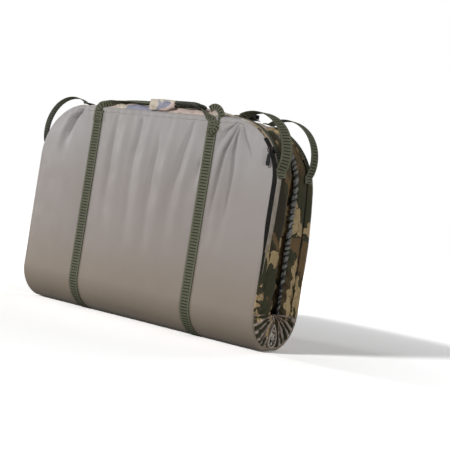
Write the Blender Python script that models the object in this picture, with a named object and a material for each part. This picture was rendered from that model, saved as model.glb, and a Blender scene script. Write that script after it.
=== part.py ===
"""Unhooking mat for landed fish: two padded trays joined at a rounded bottom fold, closed face to face.

It stands on its fold. X runs along the fold, -Y is the front face and +Z is up. Units are metres.
"""

import math

import bmesh
import bpy
from mathutils import Vector

# Overall sizes
mat_length = 0.650
mat_height = 0.439
fold_radius = 0.075
corner_radius = 0.120
floor_press = 0.004
rear_swell = 0.0083
rear_slim = 0.0405
slim_start = 0.210
slim_power = 1.3

# Clearance between neighbouring pieces
gap = 0.0003

# Base pads: cover, foam board, lining, and the strip that closes their edge
cover_thickness = 0.0018
foam_thickness = 0.0208
lining_thickness = 0.0015
boxing_thickness = 0.0020
crown_height = 0.0045
side_crown_height = 0.0032
pucker_height = 0.0016
pucker_start_share = 0.42
edge_drop = 0.0030
inner_edge_drop = 0.0006
crown_power = 0.6

# Tray walls
wall_width = 0.050
wall_height = 0.0400
rear_wall_height = 0.0270
side_puff = 0.0040
end_puff = 0.0200
puff_fade = 0.120

# Webbing
webbing_width = 0.025
webbing_thickness = 0.0018
strap_spacing = 0.318
strap_drop = 0.0110

# Handles
handle_lift = 0.0195
handle_set_back = 0.0150
handle_start_gap = 0.0008
handle_room = 0.0005
rear_handle_rise = 0.0045
rear_handle_set_back = 0.0200
sleeve_start = -0.022
sleeve_length = 0.070
sleeve_drop = 0.0185
sleeve_wall = 0.0045
cuff_length = 0.058
cuff_wall = 0.0042

# Corner loops
loop_reach = 0.0300
loop_stand_off = 0.0047
loop_break = 0.0007
loop_point_width = 0.0012
front_loop_depth = 0.023
rear_loop_depth = 0.019
loop_free_start = math.radians(22)
loop_free_end = math.radians(76)
loop_foot_start = math.radians(7)
loop_foot_end = math.radians(90)
loop_rise_start = math.radians(13)
loop_rise_end = math.radians(84)
tape_start = math.radians(6)
tape_end = math.radians(82)

# Zip along the right edge of the front half
zip_width = 0.0110
zip_thickness = 0.0014
zip_set_in = 0.0020
zip_bottom = 0.150
zip_end_turn = math.radians(46)
slider_turn = math.radians(32)
slider_length = 0.0120
slider_width = 0.0056
slider_height = 0.0042
lug_radius = 0.0018
puller_length = 0.024
puller_width = 0.0090
puller_thickness = 0.0014
ring_radius = 0.0050
ring_wire = 0.0011
puller_stand_off = 0.0065

# Gathered binding on the rear rim
binding_height = 0.0140
binding_width = 0.0150
binding_set_in = 0.0020
binding_pitch = 0.019
binding_gather = 0.0012

# Pleated gussets at both ends of the fold
pleat_core_radius = 0.010
pleat_skin = 0.0060
pleat_edge_room = 0.0008
pleat_core_room = 0.0016
pleat_ridge = 0.0035

# Side-release buckle across the top
buckle_place = 0.185
buckle_width = 0.0260
buckle_height = 0.0085
socket_length = 0.0215
plug_length = 0.0180
prong_length = 0.0125
prong_width = 0.0042
key_width = 0.0062
buckle_wall = 0.0018
window_length = 0.0072
buckle_tab_width = 0.0180
rear_tab_length = 0.018
front_tab_length = 0.034
tab_room = 0.0010
latch_step = 0.0018

# The two sides of the fold: the front half lies towards -Y and the rear half towards +Y
front = -1
rear = 1

# Worked out from the sizes above
strap_proud = webbing_thickness + gap
fold_centre = fold_radius + strap_proud - floor_press
bend_run = fold_radius * math.pi / 2
top_run = bend_run + mat_height - fold_centre
corner_run = top_run - corner_radius
corner_place = mat_length / 2 - corner_radius
corner_height = mat_height - corner_radius
split_turn = math.pi / 4
press_turn = math.acos(fold_centre / (fold_radius + strap_proud))
split_gap_turn = gap / (fold_radius - wall_width)
foam_depth = cover_thickness + gap
lining_depth = foam_depth + foam_thickness + gap
pad_depth = lining_depth + lining_thickness
wall_depth = pad_depth + gap
rear_rim_depth = wall_depth + rear_wall_height
swell_share = 1 + rear_swell / fold_radius
core_inset = boxing_thickness + gap
strap_place = strap_spacing / 2
strap_top = mat_height - strap_drop
band_half = webbing_width / 2 + gap
seam_turn = gap / (corner_radius - wall_width)
hinge_out = (fold_radius + strap_proud) * math.sin(split_turn)
hinge_up = fold_centre - (fold_radius + strap_proud) * math.cos(split_turn)
wall_heights = {front: wall_height, rear: rear_wall_height}

# Shares along the straight part of a panel and across its top, and turns round a corner and the bend
flat_shares = (0, 0.2, 0.4, 0.6, 0.8, 1)
end_shares = (-1, -0.8, -0.6, -0.4, -0.2, 0, 0.2, 0.4, 0.6, 0.8, 1)
corner_turns = tuple(math.radians(angle) for angle in (15, 30, 45, 60, 75, 90))
bend_turns = tuple(math.radians(angle) for angle in (60, 75, 90))
side_shares = (1, 0.94, 0.8, 0.62, 0.42, 0.2, 0)
middle_steps = 12
half_pleat_steps = 9
spine_arm_steps = 5
spine_flat_steps = 7

# Outline of a wall's cross-section: share of the width inwards, share of the height, share of the puff
wall_shares = (
    (0, 0, 0), (0, 0.18, 0.75), (0, 0.5, 1), (0, 0.82, 0.8), (0.05, 0.97, 0.35),
    (0.28, 1, 0), (0.72, 1, 0), (0.95, 0.93, 0), (1, 0.5, 0), (0.97, 0, 0),
)

# Half of a handle's route: share of the strap's place, share of the set-back, share of the rise
handle_shares = (
    (1, 0, 0), (1, 0, 0.4), (0.975, 0, 0.72), (0.9, 0.2, 0.9), (0.8, 0.8, 0.98),
    (0.7, 1, 1), (0.3, 1, 1),
)
handle_twist_shares = (0, 0, 0.3, 0.75, 0.95, 1, 1, 1)

# Section of the grip sleeve and of the cuff, as shares of their reach and of the webbing's passage
sleeve_low_share = 0.3
sleeve_round_share = 0.8
sleeve_crown_share = 1.1
passage_near_share = 0.5
passage_far_share = 0.9
cuff_tuck_share = 0.75
cuff_broad_share = 1.08
cuff_inner_share = 0.4
cuff_sides = 8
cuff_rings = 7
sleeve_rings = 4

# Corner loops and the rim binding
loop_power = 0.8
loop_steps = 15
loop_end_steps = 6
binding_sides = 6

# Zip slider and puller, each as shares of its place along its length and of its width
slider_shares = ((-1, 0.7), (-0.4, 1), (0.4, 1), (1, 0.7))
slider_shoulder_share = 0.8
slider_top_share = 0.6
lug_height_share = 0.5
lug_sides = 8
ring_steps = 12
ring_sides = 4
puller_shares = ((0, 0.5), (0.15, 0.8), (0.8, 1), (1, 0.7))

# The front tab's climb to the plug: share of its length outwards, share of the climb
tab_shares = ((1, 0), (0.65, 0), (0.3, 0.75), (0.15, 1), (0, 1))


def clear_scene():
    """Start from an empty scene."""
    for item in list(bpy.data.objects):
        bpy.data.objects.remove(item, do_unlink=True)


def make_look(name, colour, roughness, metallic=0.0):
    """A plain finish for one sub-part."""
    look = bpy.data.materials.new(name)
    look.use_nodes = True
    shader = look.node_tree.nodes["Principled BSDF"]
    shader.inputs["Base Color"].default_value = (*colour, 1)
    shader.inputs["Roughness"].default_value = roughness
    shader.inputs["Metallic"].default_value = metallic
    return look


nylon = ((0.32, 0.29, 0.27), 0.55)
camouflage = ((0.17, 0.13, 0.08), 0.8)
olive_webbing = ((0.08, 0.08, 0.05), 0.85)
foam = ((0.6, 0.6, 0.58), 0.95)
black_plastic = ((0.012, 0.012, 0.012), 0.4)
black_tape = ((0.02, 0.02, 0.018), 0.8)
grey_binding = ((0.14, 0.14, 0.15), 0.7)
bare_metal = ((0.6, 0.6, 0.6), 0.35, 1.0)

bodies = {}


def add_body(name, place, parent=None):
    """An empty on a joint's axis, which carries the pieces that move together."""
    empty = bpy.data.objects.new(name + "_body", None)
    bpy.context.collection.objects.link(empty)
    empty.location = place
    if parent:
        empty.parent = bodies[parent][0]
        empty.location = place - bodies[parent][1]
    bodies[name] = (empty, place)


def add_piece(name, shells, finish, body):
    """One node from a list of (points, faces), each a closed shell in world places."""
    empty, place = bodies[body]
    mesh = bpy.data.meshes.new(name)
    points, faces = [], []
    for shell_points, shell_faces in shells:
        first = len(points)
        points += [Vector(point) - place for point in shell_points]
        faces += [[first + corner for corner in face] for face in shell_faces]
    mesh.from_pydata(points, [], faces)
    shape = bmesh.new()
    shape.from_mesh(mesh)
    bmesh.ops.recalc_face_normals(shape, faces=shape.faces)
    shape.to_mesh(mesh)
    shape.free()
    mesh.shade_smooth()
    mesh.set_sharp_from_angle(angle=math.radians(40))
    mesh.materials.append(make_look(name, *finish))
    piece = bpy.data.objects.new(name, mesh)
    bpy.context.collection.objects.link(piece)
    piece.parent = empty
    return piece


def loft(rings, closed=False):
    """A closed shell through rings of equally many points, with flat ends unless it closes on itself."""
    count = len(rings[0])
    points = [point for ring in rings for point in ring]
    faces = []
    last = len(rings) if closed else len(rings) - 1
    for row in range(last):
        here, there = row * count, (row + 1) % len(rings) * count
        for step in range(count):
            follow = (step + 1) % count
            faces.append((here + step, here + follow, there + follow, there + step))
    if not closed:
        faces.append(tuple(range(count)))
        faces.append(tuple(range(last * count, (last + 1) * count)))
    return points, faces


def tube(outer_rings, inner_rings):
    """A closed shell with a passage: outer and inner rings of equally many points, joined at both ends."""
    count = len(outer_rings[0])
    rings = outer_rings + inner_rings[::-1]
    return loft([[ring[step] for step in range(count)] for ring in rings], closed=True)


def smooth_step(share):
    """Ease from 0 to 1."""
    share = min(max(share, 0), 1)
    return share * share * (3 - 2 * share)


def slim(height, side):
    """How a half's depth is stretched at a height: the rear one is fuller below and leans in at the top."""
    if side == front:
        return 1
    rise_share = max(height - slim_start, 0) / (mat_height - slim_start)
    return swell_share - rear_slim / fold_radius * rise_share ** slim_power


def fold_point(x, run, depth, side):
    """A point of the folded mat: run goes along the skin from the bottom centre, depth goes inwards.

    A negative run on the rear side is the front part of the spine, which isn't stretched.
    """
    reach = fold_radius - depth
    if run < bend_run:
        turn = run / fold_radius
        out = reach * math.sin(turn)
        height = max(fold_centre - reach * math.cos(turn), strap_proud + depth)
    else:
        out = reach
        height = fold_centre + run - bend_run
    stretch = slim(height, side) if out > 0 else 1
    return Vector((x, side * out * stretch, height))


def half_turns():
    """Turns of the fold that belong to a half, from the split to the flat panel."""
    return (split_turn + split_gap_turn,) + bend_turns


def spine_turns():
    """Turns of the fold that belong to the spine, flat where the mat stands."""
    edge = split_turn - split_gap_turn
    middle = (press_turn + edge) / 2
    return (-edge, -middle, -press_turn, 0, press_turn, middle, edge)


def panel_rows(inset):
    """Rows of a half's panel as (run, half width), drawn in by an inset from the mat's outline."""
    half_length = mat_length / 2 - inset
    radius = corner_radius - inset
    rows = [(turn * fold_radius, half_length) for turn in half_turns()]
    rows += [(bend_run + share * (corner_run - bend_run), half_length) for share in flat_shares[1:]]
    for turn in corner_turns:
        rows.append((corner_run + radius * math.sin(turn), corner_place + radius * math.cos(turn)))
    return rows


def skin_columns(half_width):
    """Places across the cover as (x, share, zone), level under the straps."""
    inner, outer = strap_place - band_half, strap_place + band_half
    columns = [(-outer - share * (half_width - outer), share, "side") for share in side_shares]
    for step in range(middle_steps + 1):
        share = 2 * step / middle_steps - 1
        columns.append((share * inner, share, "middle"))
    columns += [(outer + share * (half_width - outer), share, "side") for share in side_shares[::-1]]
    return columns


def skin_depth(share, zone, run):
    """Depth of the cover's outer face: crowned between the straps and the edges, puckered towards the top."""
    rise_share = (run - split_turn * fold_radius) / (top_run - split_turn * fold_radius)
    swell = math.sin(math.pi * min(max(rise_share, 0), 1)) ** crown_power
    if zone == "side":
        if share == side_shares[0]:
            return edge_drop
        if share == side_shares[1]:
            return inner_edge_drop
        return -side_crown_height * swell * 4 * share * (1 - share)
    column = round((share + 1) * middle_steps / 2)
    pucker = pucker_height * smooth_step((rise_share - pucker_start_share) / (1 - pucker_start_share))
    ridge = pucker if column % 2 else 0
    inside = 0 if column in (0, middle_steps) else 1
    return -inside * (crown_height * swell * (1 - share * share) + ridge)


def add_cover(name, side, body):
    """The outer cover of one half: a sheet over the foam that closes round the bend and the corners."""
    rings = []
    rows = panel_rows(0)
    for run, half_width in rows:
        ring = []
        for x, share, zone in skin_columns(half_width):
            depth = min(skin_depth(share, zone, run), cover_thickness - gap)
            if run > top_run - gap:
                depth = cover_thickness - gap
            ring.append(fold_point(x, run, depth, side))
        ring.append(fold_point(half_width, run, cover_thickness, side))
        ring.append(fold_point(-half_width, run, cover_thickness, side))
        rings.append(ring)
    return add_piece(name, [loft(rings)], nylon, body)


def add_layer(name, side, depth, thickness, finish, body):
    """A plain sheet or board of a half, inside the edge strip."""
    rows = panel_rows(core_inset)
    bend_count = len(half_turns())
    narrow = [(run, half_width - pleat_skin) for run, half_width in rows[:bend_count]]
    wide = [(bend_run + gap, mat_length / 2 - core_inset)] + rows[bend_count:]
    rings = []
    for run, half_width in narrow + wide:
        rings.append([
            fold_point(-half_width, run, depth, side), fold_point(half_width, run, depth, side),
            fold_point(half_width, run, depth + thickness, side),
            fold_point(-half_width, run, depth + thickness, side),
        ])
    return add_piece(name, [loft(rings)], finish, body)


def add_spine_layer(name, depth, thickness, inset, finish):
    """The same sheet or board round the bottom of the fold."""
    rings = []
    half_width = mat_length / 2 - inset
    for turn in spine_turns():
        run = turn * fold_radius
        rings.append([
            fold_point(-half_width, run, depth, rear), fold_point(half_width, run, depth, rear),
            fold_point(half_width, run, depth + thickness, rear),
            fold_point(-half_width, run, depth + thickness, rear),
        ])
    return add_piece(name, [loft(rings)], finish, "spine")


def side_stations(hand, low_run, high_run, shares=flat_shares):
    """Stations up one side of the outline, each a corner centre and a direction out of it."""
    return [(hand * corner_place, low_run + share * (high_run - low_run), hand, 0) for share in shares]


def corner_station(hand, turn):
    """A station on a rounded corner; turn 0 is the side and a quarter turn is the top."""
    return (hand * corner_place, corner_run, hand * math.cos(turn), math.sin(turn))


def turns_between(low, high):
    """Turns of a corner from low to high, by way of the turns that every layer of the corner shares."""
    return [low] + [turn for turn in corner_turns if low < turn < high] + [high]


def top_stations(shares):
    """Stations across the top, as shares of the straight stretch from left to right."""
    return [(share * corner_place, corner_run, 0, 1) for share in shares]


def outline_point(station, inset, depth, side):
    """A point beside the outline at a station."""
    x, run, across, along = station
    reach = corner_radius - inset
    return fold_point(x + across * reach, run + along * reach, depth, side)


def puff_at(station):
    """How far a wall bulges outwards: a little at the sides, more along the top end."""
    x, run, across, along = station
    if across:
        return side_puff
    return side_puff + (end_puff - side_puff) * smooth_step((corner_place - abs(x)) / puff_fade)


def wall_ring(station, side):
    """The padded wall's cross-section at a station."""
    puff = puff_at(station)
    ring = []
    for width_share, share, puff_share in wall_shares:
        inset = width_share * wall_width - puff_share * puff
        ring.append(outline_point(station, inset, wall_depth + share * wall_heights[side], side))
    return ring


def add_walls(name, side, body):
    """The right, left and end walls of one tray."""
    for hand, word in ((1, "right"), (-1, "left")):
        stations = side_stations(hand, bend_run + gap, corner_run - gap)
        rings = [wall_ring(station, side) for station in stations]
        add_piece(f"{name}_{word}_wall", [loft(rings)], camouflage, body)
    turns = (seam_turn,) + corner_turns[:-1]
    stations = [corner_station(-1, turn) for turn in turns]
    stations += top_stations(end_shares)
    stations += [corner_station(1, turn) for turn in turns[::-1]]
    rings = [wall_ring(station, side) for station in stations]
    add_piece(f"{name}_end_wall", [loft(rings)], camouflage, body)


def strip_rings(stations, inset, thickness, depth, width, side):
    """Rings of a flat strip on the outline, lying outside an inset."""
    return [[
        outline_point(station, inset, depth, side), outline_point(station, inset, depth + width, side),
        outline_point(station, inset - thickness, depth + width, side),
        outline_point(station, inset - thickness, depth, side),
    ] for station in stations]


def add_boxing(name, side, body):
    """The strip that closes the edge of the base pad, up one side, across the top and down the other."""
    stations = side_stations(-1, bend_run + gap, corner_run)
    stations += [corner_station(-1, turn) for turn in corner_turns]
    stations += [corner_station(1, turn) for turn in corner_turns[::-1]]
    stations += side_stations(1, bend_run + gap, corner_run)[::-1]
    width = pad_depth - foam_depth
    rings = strip_rings(stations, boxing_thickness, boxing_thickness, foam_depth, width, side)
    add_piece(name, [loft(rings)], nylon, body)


def pleat_rings(turns, hand, side):
    """Radial sections of a gathered gusset: a padded core with a ridged skin across the end of the fold."""
    end = mat_length / 2
    edge_depth = foam_depth + pleat_edge_room
    core_depth = wall_depth + pleat_core_room
    rings = []
    for step, turn in enumerate(turns):
        run = turn * fold_radius
        ridge = pleat_ridge if step % 2 else 0
        inner_depth = fold_radius - pleat_core_radius
        skin_in = end - pleat_skin
        middle_depth = (core_depth + inner_depth) / 2
        profile = (
            (end - wall_width, inner_depth), (end - wall_width, core_depth), (skin_in, core_depth),
            (skin_in, edge_depth), (end - pleat_skin / 2, edge_depth), (end + ridge, core_depth),
            (end + ridge, middle_depth), (end, inner_depth),
        )
        rings.append([fold_point(hand * x, run, depth, side) for x, depth in profile])
    return rings


def spread(low, high, count):
    """Evenly spaced values from low to high."""
    return [low + (high - low) * step / (count - 1) for step in range(count)]


def add_pleats(name, side, body):
    """The gussets of one half, from the split to the flat panel."""
    turns = spread(split_turn + split_gap_turn, math.pi / 2, half_pleat_steps)
    for hand, word in ((1, "right"), (-1, "left")):
        add_piece(f"{name}_{word}_pleats", [loft(pleat_rings(turns, hand, side))], camouflage, body)


def add_spine_pleats():
    """The gussets at the bottom of the fold, flat where it stands."""
    edge = split_turn - split_gap_turn
    arm = spread(press_turn, edge, spine_arm_steps)
    flat = spread(-press_turn, press_turn, spine_flat_steps)
    turns = [-turn for turn in arm[::-1]] + flat[1:-1] + arm
    for hand, word in ((1, "right"), (-1, "left")):
        add_piece(f"spine_{word}_pleats", [loft(pleat_rings(turns, hand, rear))], camouflage, "spine")


def strap_ring(x, run, side):
    """A flat webbing section on the skin."""
    half = webbing_width / 2
    return [
        fold_point(x - half, run, -gap, side), fold_point(x + half, run, -gap, side),
        fold_point(x + half, run, -strap_proud, side), fold_point(x - half, run, -strap_proud, side),
    ]


def add_straps(name, side, body):
    """The two straps up one face, ending at their top stitching."""
    end_run = bend_run + strap_top - fold_centre
    runs = [run for run, half_width in panel_rows(0) if run < end_run - webbing_width / 4] + [end_run]
    for hand, word in ((1, "right"), (-1, "left")):
        rings = [strap_ring(hand * strap_place, run, side) for run in runs]
        add_piece(f"{name}_{word}_strap", [loft(rings)], olive_webbing, body)


def add_spine_straps():
    """The stretches of both straps under the fold, on whose flats the mat stands."""
    for hand, word in ((1, "right"), (-1, "left")):
        rings = [strap_ring(hand * strap_place, turn * fold_radius, rear) for turn in spine_turns()]
        add_piece(f"spine_{word}_strap", [loft(rings)], olive_webbing, "spine")


def smooth_path(points, count):
    """Points along a smooth curve through the given ones."""
    last = len(points) - 1
    path = []
    for place in spread(0, last, count):
        start = min(int(place), last - 1)
        share = place - start
        before, here = points[max(start - 1, 0)], points[start]
        there, after = points[start + 1], points[min(start + 2, last)]
        leave, arrive = (there - before) / 2, (after - here) / 2
        path.append(here + leave * share + (3 * (there - here) - 2 * leave - arrive) * share ** 2
                    + (2 * (here - there) + leave + arrive) * share ** 3)
    return path


def ribbon_rings(path, widths, width=webbing_width, thickness=webbing_thickness):
    """Sections of webbing along a path; widths gives the direction of its width at each point."""
    rings = []
    for step, point in enumerate(path):
        ahead = path[min(step + 1, len(path) - 1)] - path[max(step - 1, 0)]
        ahead.normalize()
        across = widths[step] - ahead * widths[step].dot(ahead)
        across.normalize()
        out = ahead.cross(across)
        half, deep = across * width / 2, out * thickness / 2
        rings.append([point - half - deep, point + half - deep, point + half + deep, point - half + deep])
    return rings


def handle_face(side):
    """How far out the middle of a handle's webbing lies where it leaves the top of the strap."""
    height = strap_top + handle_start_gap
    return (fold_radius + gap + handle_room + webbing_thickness / 2) * slim(height, side)


def handle_route(side):
    """The middle line of a carry handle, from the top of the left strap over to the right one."""
    start = strap_top + handle_start_gap
    top = mat_height + handle_lift + (rear_handle_rise if side == rear else 0)
    back = handle_set_back if side == front else rear_handle_set_back
    face = handle_face(side)
    half_route = []
    for place_share, back_share, rise_share in handle_shares:
        height = start + (top - start) * rise_share
        half_route.append(Vector((-strap_place * place_share, side * (face - back * back_share), height)))
    route = half_route + [Vector((0, side * (face - back), top))]
    route += [Vector((-point.x, point.y, point.z)) for point in half_route[::-1]]
    return route


def add_handle(name, side, body):
    """A webbing carry handle, flat on the face at its ends and flat upwards along its top."""
    route = handle_route(side)
    count = 2 * (len(route) - 1) + 1
    path = smooth_path(route, count)
    widths = []
    for step in range(count):
        from_end = min(step, count - 1 - step)
        low, high = handle_twist_shares[from_end // 2], handle_twist_shares[(from_end + 1) // 2]
        twist = (low + high) / 2 * math.pi / 2
        hand = 1 if step < count / 2 else -1
        widths.append(Vector((hand * math.cos(twist), -side * math.sin(twist), 0)))
    add_piece(name, [loft(ribbon_rings(path, widths))], olive_webbing, body)


def add_grip():
    """The padded sleeve round the front handle, with its hanging flap, and the ruched cuff beside it."""
    route = handle_route(front)
    middle = route[len(route) // 2]
    hole_half, hole_deep = webbing_width / 2 + gap, webbing_thickness / 2 + gap
    out = hole_half + sleeve_wall
    rise = hole_deep + sleeve_wall
    bottom = -sleeve_drop
    flap = sleeve_wall
    round_out, crown = out * sleeve_round_share, rise * sleeve_crown_share
    section = (
        (-out, bottom), (-out, rise * sleeve_low_share), (-round_out, rise), (0, crown), (round_out, rise),
        (out, 0), (round_out, -rise), (0, -rise), (-out + flap, -crown), (-out + flap, bottom),
    )
    hole = (
        (-hole_half, -hole_deep), (-hole_half, hole_deep * sleeve_low_share), (-hole_half, hole_deep),
        (0, hole_deep), (hole_half, hole_deep), (hole_half, 0), (hole_half, -hole_deep), (0, -hole_deep),
        (-hole_half * passage_near_share, -hole_deep), (-hole_half * passage_far_share, -hole_deep),
    )
    places = spread(sleeve_start, sleeve_start + sleeve_length, sleeve_rings)
    outer = [[Vector((x, middle.y + y, middle.z + z)) for y, z in section] for x in places]
    inner = [[Vector((x, middle.y + y, middle.z + z)) for y, z in hole] for x in places]
    add_piece("front_grip_sleeve", [tube(outer, inner)], camouflage, "front_handle")

    first = sleeve_start + sleeve_length + gap
    places = spread(first, first + cuff_length, cuff_rings)
    outer, inner = [], []
    for step, x in enumerate(places):
        swell = cuff_wall if step % 2 else cuff_wall * cuff_tuck_share
        broad, tall = (hole_half + swell) * cuff_broad_share, hole_deep + swell
        ring, passage = [], []
        for corner in range(cuff_sides):
            turn = math.pi * (2 * corner + 1) / cuff_sides
            y, z = math.cos(turn), math.sin(turn)
            ring.append(Vector((x, middle.y + y * broad, middle.z + z * tall)))
            flat = hole_half if abs(y) > abs(z) else hole_half * cuff_inner_share
            inner_y, inner_z = math.copysign(flat, y), math.copysign(hole_deep, z)
            passage.append(Vector((x, middle.y + inner_y, middle.z + inner_z)))
        outer.append(ring)
        inner.append(passage)
    add_piece("front_grip_cuff", [tube(outer, inner)], olive_webbing, "front_handle")


def loop_reach_at(turn):
    """How far out of the corner's centre a loop runs at a turn of the corner."""
    surface = corner_radius + loop_stand_off
    share = (turn - loop_rise_start) / (loop_rise_end - loop_rise_start)
    share = min(max(share, 0), 1)
    return surface + loop_reach * math.sin(math.pi * share) ** loop_power


def loop_path(hand, side, low_turn, high_turn, count):
    """Middle line of a corner loop between two turns of the corner."""
    path = []
    depth = front_loop_depth if side == front else rear_loop_depth
    out = (fold_radius - depth) * slim(corner_height + corner_radius * math.sin(split_turn), side)
    for turn in spread(low_turn, high_turn, count):
        reach = loop_reach_at(turn)
        x, height = corner_place + reach * math.cos(turn), corner_height + reach * math.sin(turn)
        path.append(Vector((hand * x, side * out, height)))
    return path


def add_loops(name, side):
    """Two corner loops on their own bodies, cut to points so that they lean, and their stitched ends."""
    for hand, word in ((1, "right"), (-1, "left")):
        path = loop_path(hand, side, loop_free_start, loop_free_end, loop_steps)
        sideways = [Vector((0, 1, 0))] * len(path)
        points = ribbon_rings(path, sideways, loop_point_width)
        rings = points[:1] + ribbon_rings(path, sideways)[1:-1] + points[-1:]
        body = f"{name}_{word}_loop"
        add_body(body, (path[0] + path[-1]) / 2, f"{name}_half")
        add_piece(body, [loft(rings)], olive_webbing, body)
        break_turn = loop_break / corner_radius
        for end, low, high in (("low", loop_foot_start, loop_free_start - break_turn),
                               ("high", loop_free_end + break_turn, loop_foot_end)):
            path = loop_path(hand, side, low, high, loop_end_steps)
            rings = ribbon_rings(path, [Vector((0, 1, 0))] * len(path))
            add_piece(f"{body}_{end}_end", [loft(rings)], olive_webbing, f"{name}_half")


def add_corner_tapes(name, side):
    """Webbing sewn round both top corners, under the loops."""
    depth = zip_set_in + zip_width + gap
    width = pad_depth - depth
    for hand, word in ((1, "right"), (-1, "left")):
        stations = [corner_station(hand, turn) for turn in turns_between(tape_start, tape_end)]
        rings = strip_rings(stations, -gap, webbing_thickness, depth, width, side)
        add_piece(f"{name}_{word}_corner_tape", [loft(rings)], olive_webbing, f"{name}_half")


def add_zip():
    """The zip tape up the right edge, its slider, and the puller on its ring."""
    low_run = bend_run + zip_bottom - fold_centre
    stations = side_stations(1, low_run, corner_run)
    stations += [corner_station(1, turn) for turn in turns_between(0, zip_end_turn)[1:]]
    rings = strip_rings(stations, -gap, zip_thickness, zip_set_in, zip_width, front)
    add_piece("zip_tape", [loft(rings)], black_tape, "front_half")

    centre = Vector((corner_place, 0, corner_height))
    add_body("zip_slider", centre, "front_half")
    reach = corner_radius + gap + zip_thickness + gap
    half_turn = slider_length / 2 / reach
    middle = -fold_radius + zip_set_in + zip_width / 2
    rings = []
    for place_share, share in slider_shares:
        turn = slider_turn + half_turn * place_share
        out = Vector((math.cos(turn), 0, math.sin(turn)))
        half = Vector((0, slider_width / 2 * share, 0))
        foot = centre + out * reach + Vector((0, middle, 0))
        shoulder, rise = out * slider_height * slider_shoulder_share, out * slider_height
        rings.append([foot - half, foot + half, foot + half + shoulder, foot + half * slider_top_share + rise,
                      foot - half * slider_top_share + rise, foot - half + shoulder])
    add_piece("zip_slider", [loft(rings)], black_plastic, "zip_slider")

    # A round lug reaches from the slider over the front edge, and the ring hangs on it
    out = Vector((math.cos(slider_turn), 0, math.sin(slider_turn)))
    lug_base = centre + out * (reach + slider_height * lug_height_share)
    lug_base += Vector((0, middle - slider_width / 2 - gap, 0))
    lug_end = Vector((lug_base.x, -fold_radius - puller_stand_off - 2 * ring_wire, lug_base.z))
    lug_turns = [2 * math.pi * step / lug_sides for step in range(lug_sides)]
    rings = []
    for point in (lug_base, lug_end):
        rings.append([point + Vector((math.cos(turn), 0, math.sin(turn))) * lug_radius for turn in lug_turns])
    add_piece("zip_lug", [loft(rings)], bare_metal, "zip_slider")

    pivot = Vector((lug_base.x, -fold_radius - puller_stand_off, lug_base.z))
    add_body("zip_puller", pivot, "zip_slider")
    ring_centre = pivot - Vector((0, 0, ring_radius - ring_wire - lug_radius - gap))
    wire_turns = [2 * math.pi * step / ring_sides for step in range(ring_sides)]
    rings = []
    for step in range(ring_steps):
        turn = 2 * math.pi * step / ring_steps
        spoke = Vector((math.cos(turn), 0, math.sin(turn)))
        hub = ring_centre + spoke * ring_radius
        rings.append([hub + spoke * ring_wire * math.cos(angle) + Vector((0, ring_wire * math.sin(angle), 0))
                      for angle in wire_turns])
    add_piece("zip_ring", [loft(rings, closed=True)], bare_metal, "zip_puller")
    top = ring_centre.z - ring_radius - ring_wire - gap
    deep = Vector((0, puller_thickness / 2, 0))
    rings = []
    for share, wide_share in puller_shares:
        middle = Vector((pivot.x, pivot.y, top - share * puller_length))
        half = Vector((puller_width / 2 * wide_share, 0, 0))
        rings.append([middle - half - deep, middle + half - deep, middle + half + deep, middle - half + deep])
    add_piece("zip_puller", [loft(rings)], black_plastic, "zip_puller")


def add_rim_binding():
    """The gathered elastic binding round the rear tray's rim."""
    low_run = bend_run + gap
    side_count = int((corner_run - low_run) / binding_pitch)
    shares = [step / side_count for step in range(side_count + 1)]
    reach = corner_radius - binding_set_in - binding_width / 2
    turn_count = int(reach * math.pi / 2 / binding_pitch)
    turns = [math.pi / 2 * (step + 1) / (turn_count + 1) for step in range(turn_count)]
    top_count = int(2 * corner_place / binding_pitch)
    stations = side_stations(-1, low_run, corner_run, shares)
    stations += [corner_station(-1, turn) for turn in turns]
    stations += top_stations([2 * step / top_count - 1 for step in range(top_count + 1)])
    stations += [corner_station(1, turn) for turn in turns[::-1]]
    stations += side_stations(1, low_run, corner_run, shares)[::-1]
    rings = []
    for step, station in enumerate(stations):
        draw = binding_gather if step % 2 else 0
        half_width, half_height = binding_width / 2 - draw, binding_height / 2 - draw / 2
        middle_inset = binding_set_in + binding_width / 2
        ring = []
        for corner in range(binding_sides):
            turn = math.pi * (2 * corner + 1) / binding_sides
            inset = middle_inset - half_width * math.cos(turn)
            depth = rear_rim_depth + gap + binding_height / 2 + half_height * math.sin(turn)
            ring.append(outline_point(station, inset, depth, rear))
        rings.append(ring)
    add_piece("rear_rim_binding", [loft(rings)], grey_binding, "rear_half")


def block(low, high):
    """A box-shaped shell between two corners."""
    rings = []
    for y in (low.y, high.y):
        rings.append([Vector((low.x, y, low.z)), Vector((high.x, y, low.z)),
                      Vector((high.x, y, high.z)), Vector((low.x, y, high.z))])
    return loft(rings)


def cut(piece, shells, name):
    """Take shells out of a piece."""
    cutter = add_piece(name, shells, black_plastic, "spine")
    cutter.hide_render = True
    cutter.display_type = "WIRE"
    modifier = piece.modifiers.new(name, "BOOLEAN")
    modifier.operation = "DIFFERENCE"
    modifier.solver = "EXACT"
    modifier.object = cutter


def fuse_outline(points, low, high):
    """A flat shell with an outline in x and y, from one height to another."""
    return loft([[Vector((x, y, height)) for x, y in points] for height in (low, high)])


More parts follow.
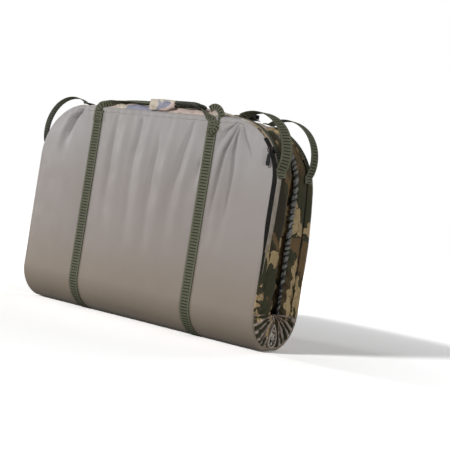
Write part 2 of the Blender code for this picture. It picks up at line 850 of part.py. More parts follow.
def add_buckle():
    """The side-release buckle over the gap between the trays, and the two tabs that hold it."""
    at = buckle_place
    wall_top = mat_height + puff_at((at - webbing_width / 2, corner_run, 0, 1)) + tab_room
    bottom = wall_top + gap + webbing_thickness + gap
    top = bottom + buckle_height
    half = buckle_width / 2
    socket_end = socket_length
    chamfer = buckle_wall

    outline = (
        (at - half + chamfer, 0), (at + half - chamfer, 0), (at + half, chamfer),
        (at + half, socket_end - chamfer), (at + half - chamfer, socket_end),
        (at - half + chamfer, socket_end), (at - half, socket_end - chamfer), (at - half, chamfer),
    )
    socket = add_piece("buckle_socket", [fuse_outline(outline, bottom, top)], black_plastic, "rear_half")
    room = prong_length + gap + buckle_wall
    bore = block(Vector((at - half + buckle_wall, -gap, bottom + buckle_wall)),
                 Vector((at + half - buckle_wall, room, top - buckle_wall)))
    cut(socket, [bore], "buckle_bore_cutter")
    window_start = room - window_length
    windows = block(Vector((at - half - chamfer, window_start, bottom + buckle_wall)),
                    Vector((at + half + chamfer, room, top - buckle_wall)))
    cut(socket, [windows], "buckle_window_cutter")

    base = -gap
    back = base - (plug_length - prong_length)
    inner = half - buckle_wall - gap
    prong = inner - prong_width
    tip = base + prong_length
    key = key_width / 2
    neck = inner - latch_step
    step_start = tip - window_length + buckle_wall
    step_end = step_start + buckle_wall
    outline = (
        (at - half, back), (at + half, back), (at + half, base), (at + neck, base), (at + neck, step_start),
        (at + inner, step_end), (at + inner, tip - buckle_wall), (at + neck, tip), (at + prong, tip),
        (at + prong - latch_step, base), (at + key, base), (at + key, tip - buckle_wall),
        (at - key, tip - buckle_wall), (at - key, base), (at - prong + latch_step, base), (at - prong, tip),
        (at - neck, tip), (at - inner, tip - buckle_wall), (at - inner, step_end), (at - neck, step_start),
        (at - neck, base), (at - half, base),
    )
    low, high = bottom + buckle_wall + gap, top - buckle_wall - gap
    add_body("buckle_plug", Vector((at, 0, (low + high) / 2)), "front_half")
    add_piece("buckle_plug", [fuse_outline(outline, low, high)], black_plastic, "buckle_plug")

    # The rear tab lies on its wall under the socket, and the front tab climbs from its wall to the plug
    half_tab = buckle_tab_width / 2
    low_level = wall_top + gap
    corners = (Vector((at - half_tab, prong_length, low_level)),
               Vector((at + half_tab, prong_length + rear_tab_length, low_level + webbing_thickness)))
    add_piece("rear_buckle_tab", [block(*corners)], olive_webbing, "rear_half")
    half = Vector((half_tab, 0, 0))
    thick = Vector((0, 0, webbing_thickness))
    rings = []
    for share, climb_share in tab_shares:
        level = low_level + climb_share * (low - gap - webbing_thickness - low_level)
        middle = Vector((at, base - share * front_tab_length, level))
        rings.append([middle - half, middle + half, middle + half + thick, middle - half + thick])
    add_piece("front_buckle_tab", [loft(rings)], olive_webbing, "front_half")


def build():
    """Make every piece on its body."""
    clear_scene()
    add_body("spine", Vector((0, 0, 0)))
    add_body("front_half", Vector((0, -hinge_out, hinge_up)), "spine")
    add_body("rear_half", Vector((0, hinge_out * swell_share, hinge_up)), "spine")
    handle_up = strap_top + handle_start_gap
    for name, side in (("front", front), ("rear", rear)):
        out = handle_face(side) + webbing_thickness / 2
        add_body(f"{name}_handle", Vector((0, side * out, handle_up)), f"{name}_half")

    add_spine_layer("spine_cover", 0, cover_thickness, 0, nylon)
    spine_inset = core_inset + pleat_skin
    add_spine_layer("spine_foam", foam_depth, foam_thickness, spine_inset, foam)
    add_spine_layer("spine_lining", lining_depth, lining_thickness, spine_inset, nylon)
    add_spine_pleats()
    add_spine_straps()
    for name, side in (("front", front), ("rear", rear)):
        body = f"{name}_half"
        add_cover(f"{name}_cover", side, body)
        add_layer(f"{name}_foam", side, foam_depth, foam_thickness, foam, body)
        add_layer(f"{name}_lining", side, lining_depth, lining_thickness, nylon, body)
        add_boxing(f"{name}_boxing", side, body)
        add_walls(name, side, body)
        add_pleats(name, side, body)
        add_straps(name, side, body)
        add_handle(f"{name}_handle", side, f"{name}_handle")
        add_corner_tapes(name, side)
        add_loops(name, side)
    add_grip()
    add_zip()
    add_rim_binding()
    add_buckle()


build()
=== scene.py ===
import math

import bmesh
import bpy
import numpy as np
from mathutils import Matrix, Vector


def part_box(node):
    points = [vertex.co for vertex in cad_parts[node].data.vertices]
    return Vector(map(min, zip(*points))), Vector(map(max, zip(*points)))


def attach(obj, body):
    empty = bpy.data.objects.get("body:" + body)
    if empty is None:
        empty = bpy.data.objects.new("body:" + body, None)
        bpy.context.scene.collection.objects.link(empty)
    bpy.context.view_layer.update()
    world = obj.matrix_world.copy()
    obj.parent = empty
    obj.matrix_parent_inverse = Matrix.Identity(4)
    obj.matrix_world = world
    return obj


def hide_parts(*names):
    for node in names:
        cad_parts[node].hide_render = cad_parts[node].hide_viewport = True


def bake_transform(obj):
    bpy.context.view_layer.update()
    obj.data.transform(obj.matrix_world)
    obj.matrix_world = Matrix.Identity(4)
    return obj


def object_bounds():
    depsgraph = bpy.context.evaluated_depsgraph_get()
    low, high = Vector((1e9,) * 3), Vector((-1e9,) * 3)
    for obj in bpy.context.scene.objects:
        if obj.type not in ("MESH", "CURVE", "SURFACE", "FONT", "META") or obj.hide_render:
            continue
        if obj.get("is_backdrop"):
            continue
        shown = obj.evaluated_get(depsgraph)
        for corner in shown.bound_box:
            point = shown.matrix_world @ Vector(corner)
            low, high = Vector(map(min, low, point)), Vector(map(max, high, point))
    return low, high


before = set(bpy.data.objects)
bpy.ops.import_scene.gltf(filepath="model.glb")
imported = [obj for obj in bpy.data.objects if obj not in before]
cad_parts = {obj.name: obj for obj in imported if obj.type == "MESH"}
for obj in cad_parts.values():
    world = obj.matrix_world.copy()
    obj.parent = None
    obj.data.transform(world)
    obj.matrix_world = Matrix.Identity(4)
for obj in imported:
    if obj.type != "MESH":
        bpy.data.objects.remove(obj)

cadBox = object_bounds()
print("frame loaded:", len(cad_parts), "nodes")

# Sizes shared with the frame, in metres
mat = {
    "length": 0.650, "height": 0.439, "foldRadius": 0.075, "cornerRadius": 0.120, "floorPress": 0.004,
    "rearSwell": 0.0083, "rearSlim": 0.0405, "slimStart": 0.210, "slimPower": 1.3, "strapProud": 0.0021,
    "liningDepth": 0.0232, "wallDepth": 0.0250, "wallWidth": 0.050, "frontWallHeight": 0.0400,
    "rearWallHeight": 0.0270, "strapPlace": 0.159, "strapTop": 0.428,
}
foldRadius, cornerRadius = mat["foldRadius"], mat["cornerRadius"]
foldCentre = foldRadius + mat["strapProud"] - mat["floorPress"]
bendRun = foldRadius * math.pi / 2
topRun = bendRun + mat["height"] - foldCentre
cornerRun = topRun - cornerRadius
cornerPlace = mat["length"] / 2 - cornerRadius
cornerHeight = mat["height"] - cornerRadius
front, rear = -1, 1
wallHeights = {front: mat["frontWallHeight"], rear: mat["rearWallHeight"]}
rearRimDepth = mat["wallDepth"] + mat["rearWallHeight"]
fourCorners = [(hand, side) for side in (front, rear) for hand in (1, -1)]


# Word for a side, as it stands in names: front for -1 and rear for 1.
def sideName(side):
    return "front" if side == front else "rear"


# Word for a hand: right for 1 and left for -1.
def handName(hand):
    return "right" if hand > 0 else "left"


# Ease: 0 below 0, 1 above 1, and 3t^2 - 2t^3 between.
def ease(value):
    value = np.clip(value, 0, 1)
    return value * value * (3 - 2 * value)


# Stretch of a half's depth at a height: the rear half is fuller below and leans in by a power of the height.
def slimAt(height, side):
    if side == front:
        return np.ones_like(height)
    rise = np.clip((height - mat["slimStart"]) / (mat["height"] - mat["slimStart"]), 0, None)
    return 1 + mat["rearSwell"] / foldRadius - mat["rearSlim"] / foldRadius * rise ** mat["slimPower"]


# Point of the folded mat: run goes along the skin from the bottom centre, round a quarter circle and then
# straight up; depth goes inwards from the skin.
def foldPoints(x, run, depth, side):
    x, run, depth = np.broadcast_arrays(*(np.asarray(value, float) for value in (x, run, depth)))
    reach = foldRadius - depth
    turn = np.minimum(run / foldRadius, math.pi / 2)
    bent = run < bendRun
    out = np.where(bent, reach * np.sin(turn), reach)
    height = np.where(bent, np.maximum(foldCentre - reach * np.cos(turn), mat["strapProud"] + depth),
                      foldCentre + run - bendRun)
    return np.stack([x, side * out * slimAt(height, side), height], -1)


# Stations round a half's outline as rows of (centre x, centre run, direction x, direction run), from the
# bottom of the left side over the top to the bottom of the right side.
def outlineStations(lowRun, sideCount, cornerCount, topCount):
    sideRuns = np.linspace(lowRun, cornerRun, sideCount, endpoint=False)
    turns = np.linspace(0, math.pi / 2, cornerCount, endpoint=False)
    across = np.linspace(-cornerPlace, cornerPlace, topCount)
    one = np.ones_like
    left = np.stack([-cornerPlace * one(sideRuns), sideRuns, -one(sideRuns), 0 * sideRuns], 1)
    leftTurn = np.stack([-cornerPlace * one(turns), cornerRun * one(turns), -np.cos(turns), np.sin(turns)], 1)
    top = np.stack([across, cornerRun * one(across), 0 * across, one(across)], 1)
    flip = np.array([-1, 1, -1, 1])
    return np.vstack([left, leftTurn, top, (leftTurn * flip)[::-1], (left * flip)[::-1]])


# Points beside the outline: from each station's centre outwards by the corner radius less the inset.
def outlinePoints(stations, inset, depth, side):
    reach = cornerRadius - np.asarray(inset, float)
    x = stations[:, 0][:, None] + stations[:, 2][:, None] * reach
    run = stations[:, 1][:, None] + stations[:, 3][:, None] * reach
    return foldPoints(x, run, depth, side)


# Length along a line of points at each of them, from the first one.
def pathLengths(points):
    return np.concatenate([[0], np.cumsum(np.linalg.norm(np.diff(points, axis=0), axis=1))])


# Length along the outline at each station, from the first one.
def stationLengths(stations):
    return pathLengths(stations[:, :2] + stations[:, 2:] * cornerRadius)


# Smooth value noise in one or two directions: random heights on a lattice, eased between neighbours.
def noise(u, v, seed):
    table = np.random.RandomState(seed).uniform(-1, 1, (64, 64))
    u, v = np.broadcast_arrays(np.asarray(u, float), np.asarray(v, float))
    column, row = np.floor(u).astype(int), np.floor(v).astype(int)
    shareU, shareV = ease(u - column), ease(v - row)
    corner = lambda du, dv: table[(column + du) % 64, (row + dv) % 64]
    low = corner(0, 0) * (1 - shareU) + corner(1, 0) * shareU
    high = corner(0, 1) * (1 - shareU) + corner(1, 1) * shareU
    return low * (1 - shareV) + high * shareV


# Points spaced evenly along a Catmull-Rom curve through the given ones.
def smoothPath(points, spacing):
    points = np.asarray(points, float)
    padded = np.vstack([2 * points[0] - points[1], points, 2 * points[-1] - points[-2]])
    fine = np.linspace(0, len(points) - 1, 40 * len(points), endpoint=False)
    start = fine.astype(int)
    t = (fine - start)[:, None]
    a, b, c, d = (padded[start + k] for k in range(4))
    square, cube = 2 * a - 5 * b + 4 * c - d, 3 * b - a - 3 * c + d
    curve = np.vstack([0.5 * (2 * b + (c - a) * t + square * t ** 2 + cube * t ** 3), points[-1]])
    length = pathLengths(curve)
    places = np.linspace(0, length[-1], max(int(length[-1] / spacing), 2) + 1)
    return np.stack([np.interp(places, length, curve[:, k]) for k in range(3)], 1)


# Values given at control points, spread evenly over a path of any number of points.
def alongPath(values, count):
    return np.interp(np.linspace(0, len(values) - 1, count), np.arange(len(values)), values)


# Unit vectors of an array of vectors.
def unit(vectors):
    return vectors / np.maximum(np.linalg.norm(vectors, axis=-1, keepdims=True), 1e-12)


# A grid patch: points by rows and columns, its own map, and its rib values, heights of its ribs that the
# materials also use as painted shade. In a tube the columns close into rings, and the first and last ring are
# capped.
def patch(points, tube=False, uv=None, rib=None):
    rows, columns = points.shape[:2]
    if uv is None:
        uv = np.stack(np.meshgrid(np.arange(columns) / columns, np.arange(rows) / rows), -1)
    rib = np.zeros((rows, columns)) if rib is None else rib
    return {"points": points, "tube": tube, "uv": uv, "rib": rib}


# One piece from patches: their points and faces go into one mesh, doubles are merged, and the faces point
# outwards. An open sheet is turned to face the given direction.
def buildPiece(name, patches, material, body=None, outward=None, mergeDistance=1e-5):
    points, uvs, ribs, loops, starts, totals = [], [], [], [], [], []
    first, loopCount = 0, 0
    for item in patches:
        rows, columns = item["points"].shape[:2]
        index = first + np.arange(rows * columns).reshape(rows, columns)
        grid = np.hstack([index, index[:, :1]]) if item["tube"] else index
        quads = np.stack([grid[:-1, :-1], grid[:-1, 1:], grid[1:, 1:], grid[1:, :-1]], -1).reshape(-1, 4)
        points.append(item["points"].reshape(-1, 3))
        uvs.append(item["uv"].reshape(-1, 2))
        ribs.append(item["rib"].reshape(-1))
        loops.append(quads.reshape(-1))
        starts.append(loopCount + 4 * np.arange(len(quads)))
        totals.append(np.full(len(quads), 4))
        loopCount += 4 * len(quads)
        if item["tube"]:
            for ring in (index[0][::-1], index[-1]):
                loops.append(ring)
                starts.append(np.array([loopCount]))
                totals.append(np.array([len(ring)]))
                loopCount += len(ring)
        first += rows * columns
    points, uvs, ribs = np.vstack(points), np.vstack(uvs), np.concatenate(ribs)
    loops, starts, totals = np.concatenate(loops), np.concatenate(starts), np.concatenate(totals)
    mesh = bpy.data.meshes.new(name)
    mesh.vertices.add(len(points))
    mesh.vertices.foreach_set("co", points.astype(np.float32).ravel())
    mesh.loops.add(len(loops))
    mesh.loops.foreach_set("vertex_index", loops.astype(np.int32))
    mesh.polygons.add(len(starts))
    mesh.polygons.foreach_set("loop_start", starts.astype(np.int32))
    mesh.polygons.foreach_set("loop_total", totals.astype(np.int32))
    mesh.update(calc_edges=True)
    layer = mesh.uv_layers.new(name="flat")
    layer.data.foreach_set("uv", uvs[loops].astype(np.float32).ravel())
    attribute = mesh.attributes.new("rib", "FLOAT", "POINT")
    attribute.data.foreach_set("value", ribs.astype(np.float32))
    shape = bmesh.new()
    shape.from_mesh(mesh)
    bmesh.ops.remove_doubles(shape, verts=shape.verts, dist=mergeDistance)
    bmesh.ops.recalc_face_normals(shape, faces=shape.faces)
    if outward:
        middle = sum((face.normal * face.calc_area() for face in shape.faces), Vector())
        if middle.dot(Vector(outward)) < 0:
            bmesh.ops.reverse_faces(shape, faces=shape.faces)
    shape.to_mesh(mesh)
    shape.free()
    mesh.shade_smooth()
    mesh.materials.append(material)
    piece = bpy.data.objects.new(name, mesh)
    bpy.context.scene.collection.objects.link(piece)
    if body:
        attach(piece, body)
    return piece


# Bakes a piece's placement into its mesh.
def bendAtHinge(piece):
    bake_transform(piece)


# Gives a sheet the thickness of its cloth, inwards from the face that is seen.
def thicken(piece, thickness):
    cloth = piece.modifiers.new("thickness", "SOLIDIFY")
    cloth.thickness, cloth.offset = thickness, -1


# A wave texture of this scale has one band to the metre along an axis
waveScale = 0.31416


# Materials. Colours are written as seen on screen, 0 to 255, and turned to linear light.
def linear(red, green, blue):
    def channel(value):
        value /= 255
        return value / 12.92 if value <= 0.04045 else ((value + 0.055) / 1.055) ** 2.4
    return (channel(red), channel(green), channel(blue), 1)


# Short way to write a material's nodes.
class Nodes:
    # Makes a material with its shader.
    def __init__(self, name):
        self.material = bpy.data.materials.new(name)
        self.material.use_nodes = True
        self.tree = self.material.node_tree
        self.shader = self.tree.nodes["Principled BSDF"]

    # Makes one node, sets its values, and sets or links its inputs.
    def add(self, kind, values=None, **inputs):
        node = self.tree.nodes.new("ShaderNode" + kind)
        for key, value in (values or {}).items():
            setattr(node, key, value)
        for key, value in inputs.items():
            self.put(node, key, value)
        return node

    # Links a socket to an input, or sets the input to a value. An input is named, or is i and its number.
    def put(self, node, key, value):
        socket = node.inputs[int(key[1:])] if key[1:].isdigit() and key[0] == "i" else node.inputs[key]
        if isinstance(value, bpy.types.NodeSocket):
            self.tree.links.new(value, socket)
        else:
            socket.default_value = value

    # Coordinates on the piece.
    def place(self, source="Object"):
        return self.add("TexCoord").outputs[source]

    # Height above the floor, from Object coordinates.
    def height(self, where):
        return self.add("SeparateXYZ", Vector=where).outputs[2]

    # The piece's own rib values, which the materials turn into painted shade and highlight.
    def rib(self):
        return self.add("Attribute", {"attribute_name": "rib"}).outputs["Fac"]

    # Noise from 0 to 1, or its colour with output 1.
    def noise(self, where, scale, detail=3, rough=0.5, output=0):
        node = self.add("TexNoise", Scale=scale, Detail=detail, Roughness=rough)
        self.put(node, "Vector", where)
        return node.outputs[output]

    # One step of arithmetic.
    def math(self, operation, first, second=0.0, third=0.0):
        return self.add("Math", {"operation": operation}, i0=first, i1=second, i2=third).outputs[0]

    # Colour between two others by a share.
    def mix(self, share, low, high):
        node = self.add("Mix", {"data_type": "RGBA"})
        self.put(node, "i0", share)
        self.put(node, "i6", low)
        self.put(node, "i7", high)
        return node.outputs[2]

    # Eases from the first number to the last while a value goes from low to high.
    def between(self, value, low, high, first=0.0, last=1.0):
        node = self.add("MapRange", {"interpolation_type": "SMOOTHSTEP"})
        for key, number in zip(("i0", "i1", "i2", "i3", "i4"), (value, low, high, first, last)):
            self.put(node, key, number)
        return node.outputs[0]

    # Normal from a height map of the given depth, over another normal.
    def bump(self, height, distance, strength=1.0, under=None):
        node = self.add("Bump", Strength=strength, Distance=distance)
        self.put(node, "Height", height)
        if under is not None:
            self.put(node, "Normal", under)
        return node.outputs[0]

    # Threads of the given pitch as heights, in the given direction.
    def threads(self, where, pitch, direction="DIAGONAL"):
        wave = self.add("TexWave", {"bands_direction": direction}, Scale=waveScale / pitch)
        self.put(wave, "Vector", where)
        return wave.outputs["Fac"]

    # Sets or links the shader's inputs and gives the material.
    def finish(self, **inputs):
        for key, value in inputs.items():
            self.put(self.shader, key.replace("_", " "), value)
        return self.material


nylonSettings = {
    "pale": (161, 158, 157), "middle": (150, 142, 138), "warmShaded": (137, 125, 111),
    "heights": (0.02, 0.24, 0.42), "cloudScale": 5, "cloudShare": 0.16, "cloudShade": 0.9, "rough": 0.60,
    "sheen": 0.05, "thread": 0.0011,
}


# Coated nylon: a taupe that turns darker and warmer towards the floor and paler at the top, partly its own
# tone and partly painted shade low down and painted light high up; with a faint cloudy tone, fine creases
# and weave, and a little sheen.
def makeNylon(name):
    nodes, settings = Nodes(name), nylonSettings
    where = nodes.place()
    height = nodes.height(where)
    low, half, high = settings["heights"]
    darker = [settings["cloudShade"] * channel for channel in settings["warmShaded"]]
    cloud = nodes.between(nodes.noise(where, settings["cloudScale"], 3), 0.35, 0.7, 0, settings["cloudShare"])
    warmShaded, middle, pale = (linear(*settings[key]) for key in ("warmShaded", "middle", "pale"))
    # Painted light and shade: the height ramp runs from the warm, shaded low colour to the pale, lit top one.
    colour = nodes.mix(nodes.between(height, low, half), warmShaded, middle)
    colour = nodes.mix(nodes.between(height, half, high), colour, pale)
    colour = nodes.mix(cloud, colour, linear(*darker))
    wear = nodes.noise(where, 30, 2)
    rough = nodes.between(wear, 0.3, 0.7, settings["rough"] - 0.05, settings["rough"] + 0.06)
    crease = nodes.bump(nodes.noise(where, 45, 3), 0.0006, 0.35)
    normal = nodes.bump(nodes.threads(where, settings["thread"]), 0.00008, 0.5, crease)
    return nodes.finish(Base_Color=colour, Roughness=rough, Normal=normal, Sheen_Weight=settings["sheen"],
                        Sheen_Roughness=0.4, Specular_IOR_Level=0.3)


camoSettings = {
    "ground": (50, 50, 31), "groundBrown": (72, 59, 38), "brown": (103, 82, 54), "tan": (172, 150, 112),
    "outline": (36, 31, 19), "thread": 0.0010, "litTopPale": (208, 197, 180), "litTopLilac": (146, 147, 164),
    "highlightRose": (203, 184, 175), "topFrom": 0.412, "topTo": 0.424, "topDrift": 0.17, "topLeaves": 0.035,
    "lilacFrom": 0.50, "lilacFromPale": 0.66, "border": 0.006,
}
# Shapes of the print: how each one's noise is turned and stretched, its scale and detail, and its colours,
# each with the noise height from which it covers
camoShapes = {
    "blots": {"turn": (0.3, 0.5, 0.1), "stretch": (1, 1, 0.7), "scale": 17, "detail": 1,
              "colours": [("brown", 0.60)]},
    "shade": {"turn": (1.1, 0.2, 0.6), "stretch": (1, 1, 0.6), "scale": 15, "detail": 1,
              "colours": [("outline", 0.61)]},
    "leaves": {"turn": (-0.5, 0.4, 0.9), "stretch": (1.1, 1, 0.45), "scale": 20, "detail": 1.3,
               "colours": [("outline", 0.590), ("tan", 0.606)]},
    "twigs": {"turn": (0.65, 0.2, 0.3), "stretch": (1, 1.3, 0.35), "scale": 27, "detail": 1.5,
              "colours": [("outline", 0.585), ("tan", 0.603)]},
}


# Own camouflage print: angular leaf and twig shapes in tan with dark outlines, over olive and brown drifts.
# Along the top it turns to pale, lilac and rose colours down to an uneven border, and the tan leaves grow
# thicker towards the top; both are painted light from above. On folds the rib values paint shade into the
# valleys and a highlight on the ridges.
def makeCamo(name, alwaysPale=False, folds=False):
    nodes, settings = Nodes(name), camoSettings
    where = nodes.place()
    height = nodes.height(where)
    tone = lambda key: linear(*settings[key])

    def bend(source, scale, amount):
        warped = nodes.add("MixRGB", {"blend_type": "LINEAR_LIGHT"}, Fac=amount)
        nodes.put(warped, "Color1", source)
        nodes.put(warped, "Color2", nodes.noise(source, scale, 2, output=1))
        return warped.outputs[0]

    def lay(under, kind, source, climb=0.0):
        shape = camoShapes[kind]
        laid = nodes.add("Mapping", Scale=shape["stretch"], Rotation=shape["turn"])
        nodes.put(laid, "Vector", source)
        value = nodes.math("ADD", nodes.noise(laid.outputs[0], shape["scale"], shape["detail"], 0.45), climb)
        for key, edge in shape["colours"]:
            under = nodes.mix(nodes.between(value, edge, edge + settings["border"]), under, tone(key))
        return under, value

    cells = nodes.add("TexVoronoi", Scale=62)
    nodes.put(cells, "Vector", bend(where, 60, 0.006))
    ragged = nodes.add("MixRGB", {"blend_type": "LINEAR_LIGHT"}, Fac=0.0032)
    nodes.put(ragged, "Color1", where)
    nodes.put(ragged, "Color2", cells.outputs["Color"])
    bent = bend(ragged.outputs[0], 14, 0.03)
    # Painted light: more tan leaves higher up make the upper walls paler.
    climb = nodes.between(height, 0.28, 0.40, 0, settings["topLeaves"])
    drifts = nodes.between(nodes.noise(bent, 7, 2), 0.50, 0.66)
    colour = nodes.mix(drifts, tone("ground"), tone("groundBrown"))
    colour = lay(colour, "blots", bent)[0]
    colour = lay(colour, "shade", bent)[0]
    colour, leaves = lay(colour, "leaves", bent, climb)
    colour, twigs = lay(colour, "twigs", bend(ragged.outputs[0], 26, 0.014), climb)
    veins = nodes.math("ABSOLUTE", nodes.math("SUBTRACT", nodes.noise(bent, 40, 1), 0.5))
    inTan = nodes.math("MAXIMUM", nodes.between(leaves, 0.60, 0.63), nodes.between(twigs, 0.60, 0.63))
    veined = nodes.math("MULTIPLY", nodes.between(veins, 0.016, 0.006, 0, 0.8), inTan)
    colour = nodes.mix(veined, colour, tone("brown"))

    # Painted light: the pale, lilac and rose top colours stand for cloth lit from above.
    lilacFrom = settings["lilacFromPale"] if alwaysPale else settings["lilacFrom"]
    top = nodes.mix(nodes.between(nodes.noise(bent, 11, 1), lilacFrom, lilacFrom + 0.01), tone("litTopPale"),
                    tone("litTopLilac"))
    top = nodes.mix(nodes.between(nodes.noise(bend(where, 9, 0.05), 13, 1), 0.53, 0.54), top, tone("highlightRose"))
    top = nodes.mix(nodes.between(veins, 0.02, 0.008, 0, 0.35), top, tone("brown"))
    # The grip sleeve takes only these painted top colours.
    if alwaysPale:
        colour = top
    else:
        drift = nodes.math("SUBTRACT", nodes.noise(bent, 8, 1), 0.5)
        height = nodes.math("MULTIPLY_ADD", drift, settings["topDrift"], height)
        share = nodes.between(height, settings["topFrom"], settings["topTo"], 0, 0.95)
        colour = nodes.mix(share, colour, top)
    colour = nodes.mix(nodes.between(nodes.noise(where, 60, 3), 0.4, 0.8, 0, 0.22), colour, tone("ground"))
    if folds:
        # Painted shade and highlight: low rib values darken the fold valleys to the outline colour, high ones
        # lay a rose highlight on the ridges.
        rib = nodes.rib()
        colour = nodes.mix(nodes.between(rib, 0.45, 0.0, 0, 0.85), colour, tone("outline"))
        colour = nodes.mix(nodes.between(rib, 0.72, 1.0, 0, 0.50), colour, tone("highlightRose"))

    crease = nodes.bump(nodes.noise(where, 70, 3), 0.0010, 0.5)
    normal = nodes.bump(nodes.threads(where, settings["thread"]), 0.0001, 0.6, crease)
    return nodes.finish(Base_Color=colour, Roughness=0.72, Normal=normal, Specular_IOR_Level=0.25)


# Ribbed cloth: a high colour on the ribs and a low one in the grooves, read from the piece's own rib values,
# so that the low colour is painted shade in grooves and hollows; with a faint cloudy tone and fine threads.
def makeWebbing(name, high, low):
    nodes = Nodes(name)
    where = nodes.place()
    darker = [0.72 * channel for channel in high]
    colour = nodes.mix(nodes.between(nodes.rib(), 0.25, 0.75), linear(*low), linear(*high))
    cloud = nodes.between(nodes.noise(where, 220, 3), 0.35, 0.75, 0, 0.35)
    colour = nodes.mix(cloud, colour, linear(*darker))
    grain = nodes.bump(nodes.noise(where, 900, 2), 0.0003, 0.4)
    normal = nodes.bump(nodes.threads(nodes.place("UV"), 0.0016, "X"), 0.00025, 0.7, grain)
    return nodes.finish(Base_Color=colour, Roughness=0.8, Normal=normal, Specular_IOR_Level=0.25)


# Plain material with a cloudy tone and a grain: a colour, a darker one, a roughness and a grain size.
def makePlain(name, colour, darker, rough, grain, depth=0.0002, metallic=0.0, specular=0.5):
    nodes = Nodes(name)
    where = nodes.place()
    cloud = nodes.between(nodes.noise(where, grain * 0.3, 3), 0.3, 0.75)
    tone = nodes.mix(cloud, linear(*colour), linear(*darker))
    normal = nodes.bump(nodes.noise(where, grain, 3), depth, 0.5)
    roughness = nodes.between(nodes.noise(where, grain * 0.5, 2), 0.3, 0.7, rough - 0.06, rough + 0.08)
    return nodes.finish(Base_Color=tone, Roughness=roughness, Normal=normal, Metallic=metallic,
                        Specular_IOR_Level=specular)


nylon = makeNylon("taupeNylon")
liningNylon = makePlain("liningNylon", (74, 72, 56), (58, 57, 44), 0.62, 160)
camo = makeCamo("camouflage")
camoPale = makeCamo("camouflageTop", alwaysPale=True)
camoFolds = makeCamo("camouflageFolds", folds=True)
webbingLook = makeWebbing("oliveWebbing", (97, 98, 79), (33, 34, 25))
dropCloth = makeWebbing("rolledCloth", (206, 196, 183), (36, 31, 20))
cuffLook = makeWebbing("cuffCloth", (84, 85, 76), (9, 9, 8))
tapeLook = makePlain("zipTape", (17, 16, 14), (10, 10, 8), 0.75, 500, 0.0004, specular=0.2)
bindingLook = makeWebbing("rimBinding", (140, 140, 136), (8, 8, 8))
bandLook = makePlain("edgeBand", (158, 149, 138), (122, 112, 98), 0.5, 140)
plasticLook = makePlain("blackPlastic", (18, 18, 19), (11, 11, 12), 0.50, 260, 0.00012, specular=0.18)
metalLook = makePlain("sliderMetal", (58, 56, 52), (32, 31, 28), 0.45, 300, 0.0001, metallic=1.0)
threadLook = makePlain("sewingThread", (150, 148, 128), (104, 102, 84), 0.7, 900)
print("materials made")


